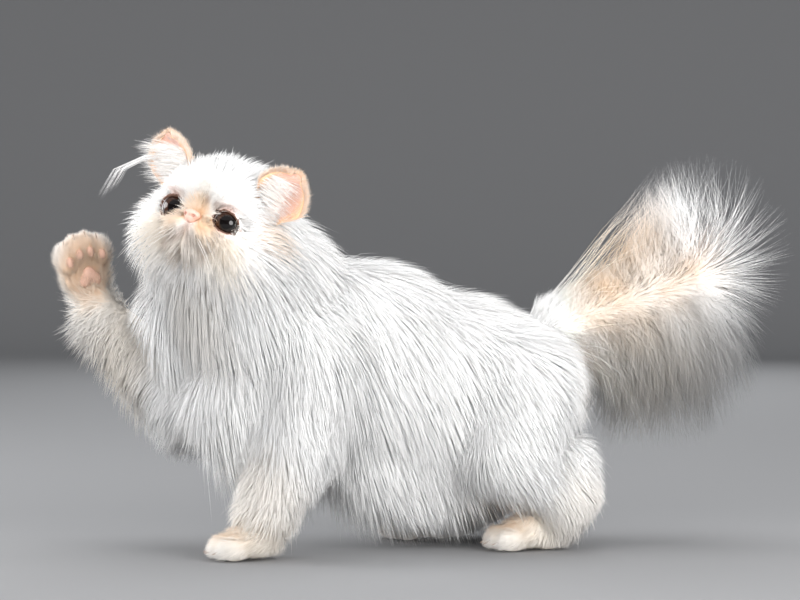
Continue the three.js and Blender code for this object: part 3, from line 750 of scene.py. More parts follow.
def tail_flow(points, normals):
    """Hair leaves the tail forwards, then stands out in a wide fan from pointing down to pointing up."""
    count = len(points)
    place, heading = tail_place(points)
    lowest = np.interp(place, TAIL_STATIONS, np.radians(TAIL_LOWEST))
    highest = np.interp(place, TAIL_STATIONS, np.radians(TAIL_HIGHEST))
    upward = np.cross(vec(0, -1, 0), heading)
    turned = (normals * upward).sum(1) / np.maximum(np.hypot(normals[:, 0], normals[:, 2]), 0.35)
    share = 0.5 + 0.5 * np.clip(turned + RNG.normal(0, 0.28, count), -1, 1)
    angle = lowest + (highest - lowest) * share + RNG.normal(0, 0.07, count)
    tilt = np.clip(0.85 * normals[:, 1] + RNG.normal(0, 0.15, count), -0.9, 0.9)
    flat = np.sqrt(1 - tilt ** 2)
    spread = np.stack([np.cos(angle) * flat, tilt, np.sin(angle) * flat], axis=1)
    return spread, unit(0.75 * heading + 0.55 * normals + 0.25 * spread)


def room_for_hair(roots, start, end, reaches):
    """The greatest of the given lengths for which a hair's tip stays inside the plume."""
    way = (start + end) / 2
    best = np.full(len(roots), reaches[0])
    for reach in reaches[1:]:
        best = np.where(plume_field(roots + way * reach) < 0, reach, best)
    return best


def head_comb(points):
    """Hair of the head radiates from the nose, grows longer with distance and parts round the eyes."""
    from_nose = HEAD.local(points) - vec(6, 0, -4)
    reach = np.linalg.norm(from_nose, axis=1)
    way = unit(unit(from_nose) + vec(-0.35, 0, -0.25)) @ HEAD.axes
    long = 4.5 + 30 * smooth(16, 78, reach)
    for side in (1, -1):
        to_eye = eye_centre(side) - points
        near = 1 - smooth(15, 26, np.linalg.norm(to_eye, axis=1))
        towards = unit(to_eye)
        across = np.maximum((way * towards).sum(1), 0) * near
        way = way - towards * across[:, None]
        long = long * (1 - 0.4 * near)
    return way, long, 0.45 + 0.4 * smooth(20, 60, reach)


def muzzle_comb(points):
    """Hair of the muzzle falls to either side of the nose, longest at the chin."""
    head = HEAD.local(points)
    count = len(points)
    way = unit(np.stack([np.full(count, 0.1), np.sign(head[:, 1]) * 0.55, np.full(count, -0.8)], 1))
    return way @ HEAD.axes, 6 + 11 * smooth(-10, -26, head[:, 2]), MUZZLE_WIDTH


def paw_comb(paw, points):
    """Hair of the paws lies forwards and is shortest over the tips of the toes."""
    long = PAW_LENGTH - TOE_SHORTER * smooth(14, 26, paw.local(points)[:, 0])
    return paw.direction(0.9, 0, -0.2), long, PAW_WIDTH


def comb(points, weights):
    """The way the hair runs, its length and its width at each root."""
    flow = np.zeros((len(points), 3))
    length = np.zeros(len(points))
    width = np.zeros(len(points))
    for row, name in zip(weights, PART_NAMES):
        if name in PAWS:
            way, long, wide = paw_comb(PAWS[name], points)
        elif name == "head":
            way, long, wide = head_comb(points)
        elif name == "muzzle":
            way, long, wide = muzzle_comb(points)
        else:
            way, long, wide = COMB[name]
        flow += row[:, None] * way
        length += row * long
        width += row * wide
    return flow, length, width


LID_MARGIN = 1.12
SOLE_TOP = 2.5


def bare(points):
    """True where no hair grows: the lids' rims, the nose, the pads and the soles."""
    none = np.zeros(len(points), bool)
    head = HEAD.local(points)
    for side in (1, -1):
        gap, front = opening(points, side)
        none |= (gap < LID_MARGIN) & (front > -1)
        none |= np.linalg.norm(points - eye_centre(side), axis=1) < EYE_RADIUS + LID_IN + LID_THICK * 0.75
    none |= patch(head, vec(8, 0, -4.5), vec(9, 9.5, 6.5), 0.99) > 0
    paw = PAWS["forepaw_right"]
    lifted = paw.local(points)
    none |= patch(lifted, vec(-4, 0, 0), vec(5, 6, 8), 0.99) > 0
    for place in TOES:
        none |= patch(lifted, paw.local(toe_centre(paw, place)) + vec(1, 0, -11), vec(3, 2, 7), 0.99) > 0
    none |= points[:, 2] < SOLE_TOP
    return none


def coat_density(skin):
    """Tufts for each square millimetre of each triangle."""
    weights = part_weights(skin.middles)
    _, length, width = comb(skin.middles, weights)
    density = COAT_LAYERS / (length * width)
    fine = sum(weights[PART_NAMES.index(name)] for name in ("head", "muzzle", *PAWS))
    density = density * (1 - 0.35 * fine)
    tail = weights[PART_NAMES.index("tail")]
    beneath = np.maximum(-unit(skin.normals.mean(axis=1))[:, 2], 0)
    density = density * (1 - tail) + TAIL_TUFTS * (1 + 0.9 * beneath) * tail
    density[bare(skin.middles)] = 0
    return density


def tail_shades(shades, roots, start, end, length, stations):
    """The tail's colours lie in patches through the whole plume, so they change along each hair."""
    rows = []
    for t in (0, *(t for t in stations for _ in range(TUFT_SIDES)), 1):
        points = roots + (start * t + (end - start) * (0.5 * t * t)) * length[:, None]
        rows.append(plume_colours(points) * shades.mean(axis=1, keepdims=True) / 0.8)
    return np.clip(np.stack(rows, axis=1), 0, BRIGHTEST)


def clump(roots, spans, spacing, strength, seed):
    """Draws the end of each hair towards that of the nearest of a few leading hairs."""
    order = np.random.default_rng(seed)
    leaders = order.choice(len(roots), max(8, int(len(roots) / spacing)), replace=False)
    tree = KDTree(len(leaders))
    for n, leader in enumerate(leaders):
        tree.insert(roots[leader], n)
    tree.balance()
    nearest = leaders[np.array([tree.find(root)[1] for root in roots])]
    size = np.linalg.norm(spans, axis=1, keepdims=True)
    lead = spans[nearest] / np.maximum(np.linalg.norm(spans[nearest], axis=1, keepdims=True), 1e-6) * size
    pull = (roots[nearest] + lead) - (roots + spans)
    far = np.linalg.norm(pull, axis=1, keepdims=True)
    pull *= np.minimum(1, 0.55 * size / np.maximum(far, 1e-6))
    return pull * (strength * order.uniform(0.35, 1.0, len(roots)))[:, None]


def spindle_faces(around, rings):
    """Triangles of a closed shape: a pole, rings of points, and a pole."""
    last = 1 + around * (rings - 1)
    faces = []
    for n in range(around):
        m = (n + 1) % around
        faces.append((0, 1 + m, 1 + n))
        for ring in range(rings - 1):
            a, b = 1 + around * ring, 1 + around * (ring + 1)
            faces += [(a + n, a + m, b + m), (a + n, b + m, b + n)]
        faces.append((last + n, last + m, last + around))
    return np.array(faces)


# Where a tuft's rings stand along it, from 0 at the root to 1 at the tip, by its number of triangles
RINGS = {6: (0.30,), 12: (0.16, 0.60)}
TUFT_SIDES = 3
FLATNESS = 0.4
FLOOR_GAP = 0.4
ROOT_DEPTH = 0.8
SOFTNESS = 0.93  # how far a tuft is shaded as the skin under it
BAKE_PATCH = 0.003  # side of a tuft's patch on the shared map


def tuft_mesh(name, hairs, triangles, softness=SOFTNESS):
    """Closed spikes with three sides: a point under the skin, a few rings and a point at the tip."""
    roots, start, end, length, width, pull, uvs, colours, normals = hairs
    stations = RINGS[triangles]
    count = len(roots)

    def on_curve(t):
        bend = start * t + (end - start) * (0.5 * t * t)
        return roots + bend * length[:, None] + pull * t ** 1.4

    rings, facing = [], []
    phase = RNG.normal(math.pi / 2, 0.35, count)
    for t in stations:
        ahead = unit(start + (end - start) * t)
        side = unit(np.cross(normals + 0.3 * start + vec(0.01, 0.02, 0.03), ahead))
        lift = np.cross(ahead, side)
        radius = 0.5 * width * (1 - t) ** 0.55
        for n in range(TUFT_SIDES):
            turn = phase + n * 2 * math.pi / TUFT_SIDES
            across = np.cos(turn)[:, None] * side
            outward = np.sin(turn)[:, None] * lift
            rings.append(on_curve(t) + radius[:, None] * (across + FLATNESS * outward))
            facing.append(unit(FLATNESS * across + outward))
    foot = roots - normals * ROOT_DEPTH
    points = np.stack([foot, *rings, on_curve(1.0)], axis=1)
    facing = np.stack([normals, *facing, unit(lift + 0.3 * end)], axis=1)
    facing = unit(facing * (1 - softness) + normals[:, None] * softness)
    points[:, :, 2] = np.maximum(points[:, :, 2], FLOOR_GAP)
    per = points.shape[1]
    faces = spindle_faces(TUFT_SIDES, len(stations))
    all_faces = (faces[None] + per * np.arange(count)[:, None, None]).reshape(-1, 3)
    mesh = mesh_from(name, points.reshape(-1, 3), all_faces)
    mesh.normals_split_custom_set_from_vertices(facing.reshape(-1, 3).tolist())
    across = np.array([0, *[(n - 1) / 2 for _ in stations for n in range(TUFT_SIDES)], 0]) * BAKE_PATCH
    up = np.array([0, *[t for t in stations for _ in range(TUFT_SIDES)], 1]) * BAKE_PATCH - BAKE_PATCH / 2
    own = uvs[:, None, :] + np.stack([across, up], axis=1)[None]
    layer = mesh.uv_layers.new(name="OFBake")
    layer.data.foreach_set("uv", own.reshape(-1, 2)[all_faces.ravel()].astype(np.float32).ravel())
    if colours.ndim == 2:
        colours = np.repeat(colours, per, axis=0)
    set_colours(mesh, colours.reshape(-1, 3))
    return new_object(name, mesh)


HANGING = ("neck", "chest", "belly", "upper_foreleg_left", "upper_foreleg_right", "forearm_right", "rump")
PIECES = {
    "coat_face": ("muzzle",),
    "coat_head": ("head",),
    "coat_neck": ("neck",),
    "coat_chest": ("chest",),
    "coat_belly": ("belly",),
    "coat_rump": ("rump",),
    "coat_forelegs": ("upper_foreleg_left", "forearm_left", "upper_foreleg_right", "forearm_right"),
    "coat_hindlegs": ("thigh_left", "shank_left", "thigh_right", "shank_right"),
    "coat_paws": tuple(PAWS),
    "coat_tail": ("tail",),
}
FINE_PIECES = ("coat_face", "coat_paws")
FINE_TRIANGLES, LONG_TRIANGLES = 6, 12
MOST_TRIANGLES = 195000
STRAY_SHARE = 0.05
LEADER_SPACING = 24
LOWEST_TIP = 1.5
TAIL_REACHES = np.arange(16, 150, 7.0)


def lay(roots, normals, weights, owner):
    """Each tuft leaves the skin along start and ends up along end, and stands as high as the coat is deep."""
    count = len(roots)
    flow, length, width = comb(roots, weights)
    depth = np.maximum(-coat_field(roots), 1.0)
    hang = smooth(0.1, -0.75, normals[:, 2]) * np.isin(owner, HANGING)
    stray = RNG.uniform(size=count) < STRAY_SHARE
    sway = np.stack([ripple(roots, 60, seed) for seed in (11, 12, 13)], axis=1) * 0.16
    flow = flow + sway + RNG.normal(0, 0.085, (count, 3))
    flat = unit(flow - normals * (flow * normals).sum(1, keepdims=True) * 0.85)
    length = length * RNG.uniform(0.62, 1.12, count) * (1 + 0.7 * hang + 0.25 * stray)
    height = depth * (0.68 + 0.42 * RNG.uniform(size=count) ** 0.7) * (1 + 0.3 * hang + 0.25 * stray)
    height = height + np.isin(owner, PAW_NAMES) * RNG.uniform(0.5, 2.5, count)
    length = np.maximum(length, height * 1.08)
    rise = np.clip(height / length, 0.04, 0.93)
    lift_start = np.clip(rise * 1.35, 0, 0.98)
    lift_end = np.clip(rise * 0.65, 0, 0.95)
    start = flat * np.sqrt(1 - lift_start ** 2)[:, None] + normals * lift_start[:, None]
    weight = vec(0, 0, -1) * (0.12 + 0.8 * hang)[:, None]
    end = unit(flat * np.sqrt(1 - lift_end ** 2)[:, None] + normals * lift_end[:, None] + weight)
    return start, end, length, width, hang, stray


def fan_out(roots, normals, stray):
    """The tail's hair: each tuft's start, end and length, so that together they fill the plume."""
    spread, leaving = tail_flow(roots, normals)
    room = room_for_hair(roots, leaving, spread, TAIL_REACHES)
    return leaving, spread, (room + 5) * RNG.uniform(0.8, 1.15, len(roots)) * (1 + 0.08 * stray)


def trimmed(roots, start, end, length, pull, hang, stray):
    """Cuts tufts back to the coat's outline, past which only strays and hanging hair go, and to the floor."""
    allowed = 3.5 + 5 * stray + 20 * hang * RNG.uniform(0, 1, len(roots))
    over = coat_field(roots + (start + end) / 2 * length[:, None] + pull) - allowed
    trim = np.clip(1 - np.maximum(over, 0) / np.maximum(length * 0.8, 1), 0.25, 1)
    length = length * trim
    pull = pull * trim[:, None]
    low = (roots + (start + end) / 2 * length[:, None] + pull)[:, 2] < LOWEST_TIP
    length = np.where(low, np.minimum(length, np.maximum(roots[:, 2] - LOWEST_TIP, LOWEST_TIP)), length)
    pull[low] *= 0.2
    return length, pull


def make_coat(skin, share=1.0):
    """Sows the tufts over the skin, lays them, trims them and meshes them piece by piece."""
    roots, normals, uvs = skin.scatter(coat_density(skin) * share)
    grows = ~bare(roots)
    roots, normals, uvs = roots[grows], normals[grows], uvs[grows]
    count = len(roots)
    weights = part_weights(roots)
    owner = np.array(PART_NAMES)[weights.argmax(0)]
    start, end, length, width, hang, stray = lay(roots, normals, weights, owner)
    tail = owner == "tail"
    start[tail], end[tail], length[tail] = fan_out(roots[tail], normals[tail], stray[tail])
    strength = np.where(tail, 0.3, 0.08 + 0.2 * hang)
    pull = clump(roots, (start + end) / 2 * length[:, None], LEADER_SPACING, strength, 5)
    length, pull = trimmed(roots, start, end, length, pull, hang, stray)
    colours = np.clip(markings_and_shade(roots) * RNG.normal(1, 0.015, (count, 1)), 0, BRIGHTEST)
    made = []
    for name, parts in PIECES.items():
        triangles = FINE_TRIANGLES if name in FINE_PIECES else LONG_TRIANGLES
        chosen = np.flatnonzero(np.isin(owner, parts))
        pieces = math.ceil(len(chosen) * triangles / MOST_TRIANGLES)
        order = chosen[np.argsort(roots[chosen, 0], kind="stable")]
        for n, group in enumerate(np.array_split(order, pieces)):
            label = name if pieces == 1 else f"{name}_{n + 1}"
            shades = colours[group]
            if name == "coat_tail":
                shades = tail_shades(shades, roots[group], start[group], end[group], length[group],
                                     RINGS[triangles])
            hairs = (roots, start, end, length, width, pull, uvs, shades, normals)
            hairs = [values if values is shades else values[group] for values in hairs]
            made.append(tuft_mesh(label, hairs, triangles))
    return made


# Materials
class Value:
    """Wraps a socket, so that shader maths reads as arithmetic."""

    def __init__(self, shader, socket):
        self.shader = shader
        self.socket = socket

    def _math(self, operation, other, swapped=False):
        pair = (other, self) if swapped else (self, other)
        return self.shader.node("ShaderNodeMath", {"operation": operation}, {0: pair[0], 1: pair[1]})

    def __add__(self, other):
        return self._math("ADD", other)

    def __sub__(self, other):
        return self._math("SUBTRACT", other)

    def __mul__(self, other):
        return self._math("MULTIPLY", other)

    def __rsub__(self, other):
        return self._math("SUBTRACT", other, True)

    __radd__ = __add__
    __rmul__ = __mul__


class Shader:
    """One material. Constants are set on its surface's own sockets, and node() adds any other node."""

    def __init__(self, name, **constants):
        self.material = bpy.data.materials.new(name)
        self.material.use_nodes = True
        self.tree = self.material.node_tree
        self.surface = next(n for n in self.tree.nodes if n.type == "BSDF_PRINCIPLED")
        for socket, value in constants.items():
            self.surface.inputs[socket.replace("_", " ")].default_value = value

    def node(self, kind, settings, sockets, output=0):
        node = self.tree.nodes.new(kind)
        for key, value in settings.items():
            if key == "ramp":
                while len(node.color_ramp.elements) < len(value):
                    node.color_ramp.elements.new(1)
                for element, (place, colour) in zip(node.color_ramp.elements, value):
                    element.position, element.color = place, (*colour, 1)
            else:
                setattr(node, key, value)
        for key, value in sockets.items():
            if isinstance(value, Value):
                self.tree.links.new(value.socket, node.inputs[key])
            else:
                node.inputs[key].default_value = value
        return Value(self, node.outputs[output])

    def feed(self, socket, value):
        self.tree.links.new(value.socket, self.surface.inputs[socket])

    def place(self):
        return self.node("ShaderNodeTexCoord", {}, {}, "Object")

    def bump(self, height, distance, strength=1.0):
        bump = self.node("ShaderNodeBump", {}, {"Height": height, "Distance": distance, "Strength": strength})
        self.feed("Normal", bump)


def marked(name, **constants):
    """A finish that takes its colour from the marking on the mesh."""
    finish = Shader(name, **constants)
    colour = finish.node("ShaderNodeAttribute", {"attribute_name": "marking"}, {}, "Color")
    finish.feed("Base Color", colour)
    return finish


def fur_material():
    return marked("long_fur", Roughness=0.6, Specular_IOR_Level=0.2, Subsurface_Weight=0.5,
                  Subsurface_Radius=(1.0, 0.9, 0.85), Subsurface_Scale=0.002).material


def skin_material():
    skin = marked("short_fur_and_skin", Roughness=0.7, Specular_IOR_Level=0.3)
    grain = skin.node("ShaderNodeTexNoise", {}, {"Vector": skin.place(), "Scale": 900.0, "Detail": 3.0})
    skin.bump(grain, 0.0004, 0.6)
    return skin.material


def leather_material(name, colour, dark, scale):
    """Pebbled bare skin, mottled between two colours."""
    leather = Shader(name, Roughness=0.45, Specular_IOR_Level=0.4)
    where = leather.place()
    cells = leather.node("ShaderNodeTexVoronoi", {}, {"Vector": where, "Scale": scale})
    mottle = leather.node("ShaderNodeTexNoise", {}, {"Vector": where, "Scale": scale * 0.15, "Detail": 4.0})
    ramp = [(0.3, dark), (0.65, colour)]
    mix = mottle + cells * 0.25
    leather.feed("Base Color", leather.node("ShaderNodeValToRGB", {"ramp": ramp}, {"Fac": mix}))
    leather.bump(cells, 0.0003, 0.7)
    return leather.material


# Eyes, nose, pads, claws, ears
def lathe(frame_of, profile, around):
    """A surface turned about the frame's first axis: profile rows are (along, radius), from pole to pole."""
    points = [frame_of.point(profile[0][0], 0, 0)]
    for along, radius in profile[1:-1]:
        for n in range(around):
            turn = 2 * math.pi * n / around
            points.append(frame_of.point(along, radius * math.cos(turn), radius * math.sin(turn)))
    points.append(frame_of.point(profile[-1][0], 0, 0))
    return np.array(points), spindle_faces(around, len(profile) - 2)


GAZE = unit(vec(0.18, -0.98, 0.05))
EYE_WHITE = vec(0.66, 0.64, 0.66)
IRIS, IRIS_STREAK = vec(0.020, 0.0075, 0.005), vec(0.022, 0.009, 0.004)
IRIS_EDGE, PUPIL = vec(0.006, 0.003, 0.003), vec(0.003, 0.002, 0.002)
CORNEA = {"bulge": 1.1, "from": 0.62}


def make_eye(side, name):
    """The globe and its clear bulge in one smooth surface. Iris and pupil lie round the way the eye looks."""
    look = Frame(eye_centre(side), GAZE, vec(1, 0, 0))
    profile = []
    steps = 48
    for n in range(steps + 1):
        angle = math.pi * (1 - n / steps)
        bulge = CORNEA["bulge"] * max(0, (math.cos(angle) - CORNEA["from"]) / (1 - CORNEA["from"])) ** 1.3
        profile.append(((EYE_RADIUS + bulge) * math.cos(angle), (EYE_RADIUS + bulge) * math.sin(angle)))
    points, faces = lathe(look, profile, 64)
    mesh = mesh_from(name, points, faces[:, ::-1])
    q = look.local(points)
    off = np.degrees(np.arctan2(np.hypot(q[:, 1], q[:, 2]), q[:, 0]))
    turn = np.arctan2(q[:, 2], q[:, 1])
    streak = 0.5 + 0.5 * np.sin(turn * 37 + 2 * np.sin(turn * 11)) * np.sin(turn * 23)
    iris = IRIS + IRIS_STREAK * streak[:, None]
    inside = (1 - smooth(75, 78, off))[:, None]
    colours = plain(EYE_WHITE, len(points)) * (1 - inside) + iris * inside
    colours = tint(colours, IRIS_EDGE, smooth(60, 70, off) * (1 - smooth(75, 79, off)) * 0.9)
    colours = tint(colours, PUPIL, 1 - smooth(38, 42, off))
    set_colours(mesh, colours)
    return new_object(name, mesh)


def lid_line(side, count=96):
    """Points round the edge of one eye's opening, on a sphere just outside the globe, found by halving."""
    eye = EYES[side]
    turn = np.linspace(0, 2 * math.pi, count, endpoint=False)
    low, high = np.zeros(count), np.full(count, 1.4)
    for _ in range(20):
        lean = (low + high) / 2
        local = np.stack([np.cos(lean), np.sin(lean) * np.cos(turn), np.sin(lean) * np.sin(turn)], axis=1)
        line = eye.origin + local * (EYE_RADIUS + LID_RIM * 0.75) @ eye.axes
        inside = opening(line, side)[0] < 1
        low, high = np.where(inside, lean, low), np.where(inside, high, lean)
    for _ in range(3):
        line = (np.roll(line, 1, 0) + 2 * line + np.roll(line, -1, 0)) / 4
    return line


def make_eyelids():
    """A smooth dark rim round each eye's opening."""
    around = 10
    points, faces, tones = [], [], []
    for side in (1, -1):
        line = lid_line(side)
        count = len(line)
        ahead = unit(np.roll(line, -1, 0) - np.roll(line, 1, 0))
        outward = unit(line - eye_centre(side))
        aside = np.cross(ahead, outward)
        base = len(points) * count * around
        turns = 2 * math.pi * np.arange(around) / around
        ring = (line[:, None] + LID_RIM * (np.cos(turns)[None, :, None] * aside[:, None]
                                          + np.sin(turns)[None, :, None] * outward[:, None]))
        points.append(ring.reshape(-1, 3))
        tones.append(np.tile(0.5 + 0.5 * np.cos(turns), count))
        for n in range(count):
            for k in range(around):
                a, b = base + n * around, base + (n + 1) % count * around
                m = (k + 1) % around
                faces.append((a + k, b + k, b + m, a + m))
    mesh = mesh_from("eyelids", np.concatenate(points), np.array(faces))
    tones = np.concatenate(tones)[:, None]
    set_colours(mesh, BROWN * 0.45 * (1 - tones) + SKIN_PINK * 0.5 * tones)
    mesh.flip_normals()
    return new_object("eyelids", mesh)


def field_piece(name, field, centre, half, step):
    points, quads = surface_net(field, centre - half, centre + half, step, 2)
    return new_object(name, mesh_from(name, points, quads))


def nose_field(points):
    """A wide wedge with two nostrils, a slit beside each and the groove below."""
    shapes = [head_egg(7, 0, -3, (6.6, 7.4, 4.0), 0), head_egg(7.5, 0, -6.6, (4.8, 4.0, 3.8), 0)]
    value = union(shapes, 3, points, 0)
    for side in (1, -1):
        hole = head_egg(13.0, side * 3.8, -4.4, (5, 1.8, 1.35), 0)(points, 0)
        inner, outer = HEAD.point(12.8, side * 4.6, -4.6), HEAD.point(11.4, side * 7, -3.4)
        slit = limb(inner, outer, 0.8, 0.5, 0)(points, 0)
        value = -blend(-value, blend(hole, slit, 1.0), 0.8)
    groove = limb(HEAD.point(14.6, 0, -4), HEAD.point(13.5, 0, -11), 0.45, 0.7, 0)(points, 0)
    return -blend(-value, groove, 0.8)


def pad_field(points):
    """The three lobes of the palm's pad and the four pads of the toes."""
    paw = PAWS["forepaw_right"]
    lobes = [egg(paw.point(-2, 0, -0.6), (6.6, 5.8, 3.3), 0, paw)]
    lobes += [egg(paw.point(-7.5, side * 5.2, -0.3), (5.2, 4.8, 3.1), 0, paw) for side in (1, -1)]
    value = union(lobes, 4, points, 0)
    for place in TOES:
        centre = toe_centre(paw, place) + paw.direction(1, 0, -10.9)
        value = np.minimum(value, egg(centre, (4.8, 3.3, 2.5), 0, paw)(points, 0))
    return value


CLAW = {"length": 9.2, "bend": 2.3, "radius": 1.75, "flatness": 0.72}
CLAW_ROOT, CLAW_TIP = vec(0.26, 0.15, 0.11), vec(0.45, 0.34, 0.28)


def make_claws():
    """Each is a bent, flattened cone of which only the end leaves the fur."""
    points, faces, tones = [], [], []
    steps, around = 8, 10
    for paw in PAWS.values():
        for place in TOES:
            root = toe_centre(paw, place) + paw.direction(10.5, 0, -1.0)
            base = len(points)
            for n in range(steps + 1):
                t = n / steps
                radius = CLAW["radius"] * (1 - t) ** 0.8
                middle = root + paw.direction(CLAW["length"] * t, 0, -CLAW["bend"] * t * t)
                for k in range(around):
                    turn = 2 * math.pi * k / around
                    across = CLAW["flatness"] * radius * math.cos(turn)
                    points.append(middle + paw.direction(0, across, radius * math.sin(turn)))
                    tones.append(t)
            for n in range(steps):
                for k in range(around):
                    m = (k + 1) % around
                    a, b = base + n * around, base + (n + 1) * around
                    faces += [(a + k, a + m, b + m), (a + k, b + m, b + k)]
            for k in range(1, around - 1):
                faces.append((base, base + k + 1, base + k))
                last = base + steps * around
                faces.append((last, last + k, last + k + 1))
    mesh = mesh_from("claws", np.array(points), np.array(faces))
    tones = np.array(tones)[:, None]
    set_colours(mesh, CLAW_ROOT * (1 - tones) + CLAW_TIP * tones)
    return new_object("claws", mesh)


EAR = {"height": 46, "half_width": 24, "cup": 13, "thick": 3.0, "root": (-30, 45, 20)}
EAR_TIP = {1: (-13, 70, 59), -1: (-13, 62, 60)}


def ear_frame(side):
    mirror = vec(1, side, 1)
    root, tip = HEAD.point(*mirror * EAR["root"]), HEAD.point(*mirror * EAR_TIP[side])
    return Frame(root, tip - root, HEAD.direction(1, side * 0.42, 0.1))


def ear_surface(side, u, v, depth):
    """A place on the cupped ear: u across from -1 to 1, v up from 0 to 1, depth 0 in front and 1 behind."""
    half = EAR["half_width"] * np.sqrt(1 - 0.95 * v ** 3.0) * (0.55 + 0.45 * smooth(0, 0.5, v))
    dish = EAR["cup"] * (1 - u * u) * (1 - 0.75 * v)
    rim = np.minimum(1, 2.2 * (1 - np.abs(u))) * np.minimum(1, 4 * (1 - v))
    lift = -dish - depth * EAR["thick"] * (0.3 + 0.7 * rim)
    local = np.stack([EAR["height"] * v - 4 * u * u * v, lift, half * u * side], axis=-1)
    return ear_frame(side).origin + local @ ear_frame(side).axes


def make_ear(side, name):
    across, up = 40, 32
    v, u = np.meshgrid(np.linspace(0, 1, up + 1), np.linspace(-1, 1, across + 1), indexing="ij")
    front = ear_surface(side, u.ravel(), v.ravel(), 0.0)
    back = ear_surface(side, u.ravel(), v.ravel(), 1.0)
    points = np.concatenate([front, back])
    row, sheet = across + 1, (across + 1) * (up + 1)
    faces = []
    for i in range(up):
        for j in range(across):
            a, b = i * row + j, (i + 1) * row + j
            faces += [(a, b, b + 1, a + 1), (sheet + a, sheet + a + 1, sheet + b + 1, sheet + b)]
        for j, way in ((0, 1), (across, -1)):
            a, b = i * row + j, (i + 1) * row + j
            faces.append((a, sheet + a, sheet + b, b)[::way])
    for j in range(across):
        a, b = j, up * row + j
        faces += [(a, a + 1, sheet + a + 1, sheet + a), (b, sheet + b, sheet + b + 1, b + 1)]
    faces = np.array(faces)
    if side < 0:
        faces = faces[:, ::-1]
    mesh = mesh_from(name, points, faces)
    vv = np.concatenate([v.ravel(), v.ravel()])
    uu = np.concatenate([u.ravel(), u.ravel()])
    inner = np.concatenate([np.ones(sheet), np.zeros(sheet)])
    colours = plain(APRICOT, len(points))
    colours = tint(colours, SKIN_PINK, inner * (1 - smooth(0.5, 1, np.abs(uu))) * 0.8)
    colours = tint(colours, DEEP_APRICOT, inner * smooth(0.2, 0.0, vv) * 0.5)
    set_colours(mesh, colours)
    return new_object(name, mesh)


def make_ear_coat():
    """Short fur on backs and rims, down in the hollows, and long hairs that sweep out from the front."""
    rows = [[] for _ in range(9)]

    def add(side, u, v, depth, normals, flow, length, width, lift, droop, colours):
        count = len(u)
        start = unit(flow + normals * lift)
        end = unit(flow + vec(0, 0, -droop))
        column = (0.25 if depth > 0.6 else 0.0) + (0.5 if side < 0 else 0.0)
        uvs = np.stack([0.02 + 0.2 * (u * 0.5 + 0.5) + column, 0.1 + 0.8 * v], axis=1)
        values = (ear_surface(side, u, v, depth), start, end, length, np.full(count, width),
                  RNG.normal(0, 0.8, (count, 3)), uvs, colours, normals)
        for row, value in zip(rows, values):
            row.append(value)

    for side in (1, -1):
        up, front, out = ear_frame(side).axes
        out = out * side

        def scattered(count, spread=0.15):
            return RNG.normal(0, spread, (count, 3))

        def shade(colour, count, low, high):
            return tint(plain(colour, count), WHITE, RNG.uniform(low, high, count))

        count = 4200
        u, v = RNG.uniform(-1, 1, count), RNG.uniform(0.0, 1, count) ** 0.8
        normals = unit(out * (u * 0.7)[:, None] - front)
        add(side, u, v, 1.0, normals, unit(up + 0.4 * out * u[:, None] + scattered(count)),
            RNG.uniform(5, 9, count) * (1.6 - 0.8 * v), 0.5, 0.35, 0.0, shade(APRICOT, count, 0.0, 0.45))
        count = 1700
        u = np.where(RNG.uniform(size=count) < 0.5, -1, 1) * (1 - 0.14 * RNG.uniform(0, 1, count))
        v = RNG.uniform(0.0, 1, count) ** 0.8
        normals = unit(out * u[:, None] + 0.5 * front)
        add(side, u, v, 0.5, normals, unit(up + 0.6 * normals + scattered(count)),
            RNG.uniform(4, 8, count), 0.45, 0.3, 0.0, shade(APRICOT, count, 0.1, 0.55))
        count = 1500
        u, v = RNG.uniform(-0.9, 0.9, count), RNG.uniform(0.0, 0.9, count)
        normals = unit(front - out * (u * 0.7)[:, None])
        add(side, u, v, 0.0, normals, unit(up * 0.9 + out * 0.3 + scattered(count, 0.25)),
            RNG.uniform(4, 8, count), 0.4, 0.15, 0.0, shade(SKIN_PINK * 1.15, count, 0.25, 0.75))
        count = 380 if side > 0 else 900
        u, v = RNG.uniform(-1.0, -0.35 if side > 0 else 0.5, count), RNG.uniform(0.0, 0.72, count)
        normals = plain(front, count)
        sweep = out * 0.85 + up * 0.55 + front * 0.25
        add(side, u, v, 0.0, normals, unit(sweep + scattered(count, 0.12)),
            RNG.uniform(14, 34, count), 0.6, 0.35, 0.45, shade(CREAM, count, 0.6, 1.0))
    # one long curved lock hangs clear of the far ear
    count = 30
    spread = RNG.normal(0, 0.45, (count, 3))
    start = unit(HEAD.direction(0, -0.85, -0.2) + 0.03 * spread)
    end = unit(HEAD.direction(0, 0.05, -1) + 0.03 * spread)
    lock = (HEAD.point(-20, -66, 38) + 1.5 * spread, start, end, RNG.uniform(56, 80, count),
            np.full(count, 0.5), np.zeros((count, 3)), np.full((count, 2), 0.75), plain(WHITE, count),
            plain(HEAD.direction(1, 0, 0), count))
    return [np.concatenate([*row, last]) for row, last in zip(rows, lock)]


# Whiskers
WHISKER_RADIUS, WHISKER_SIDES = 0.2, 5


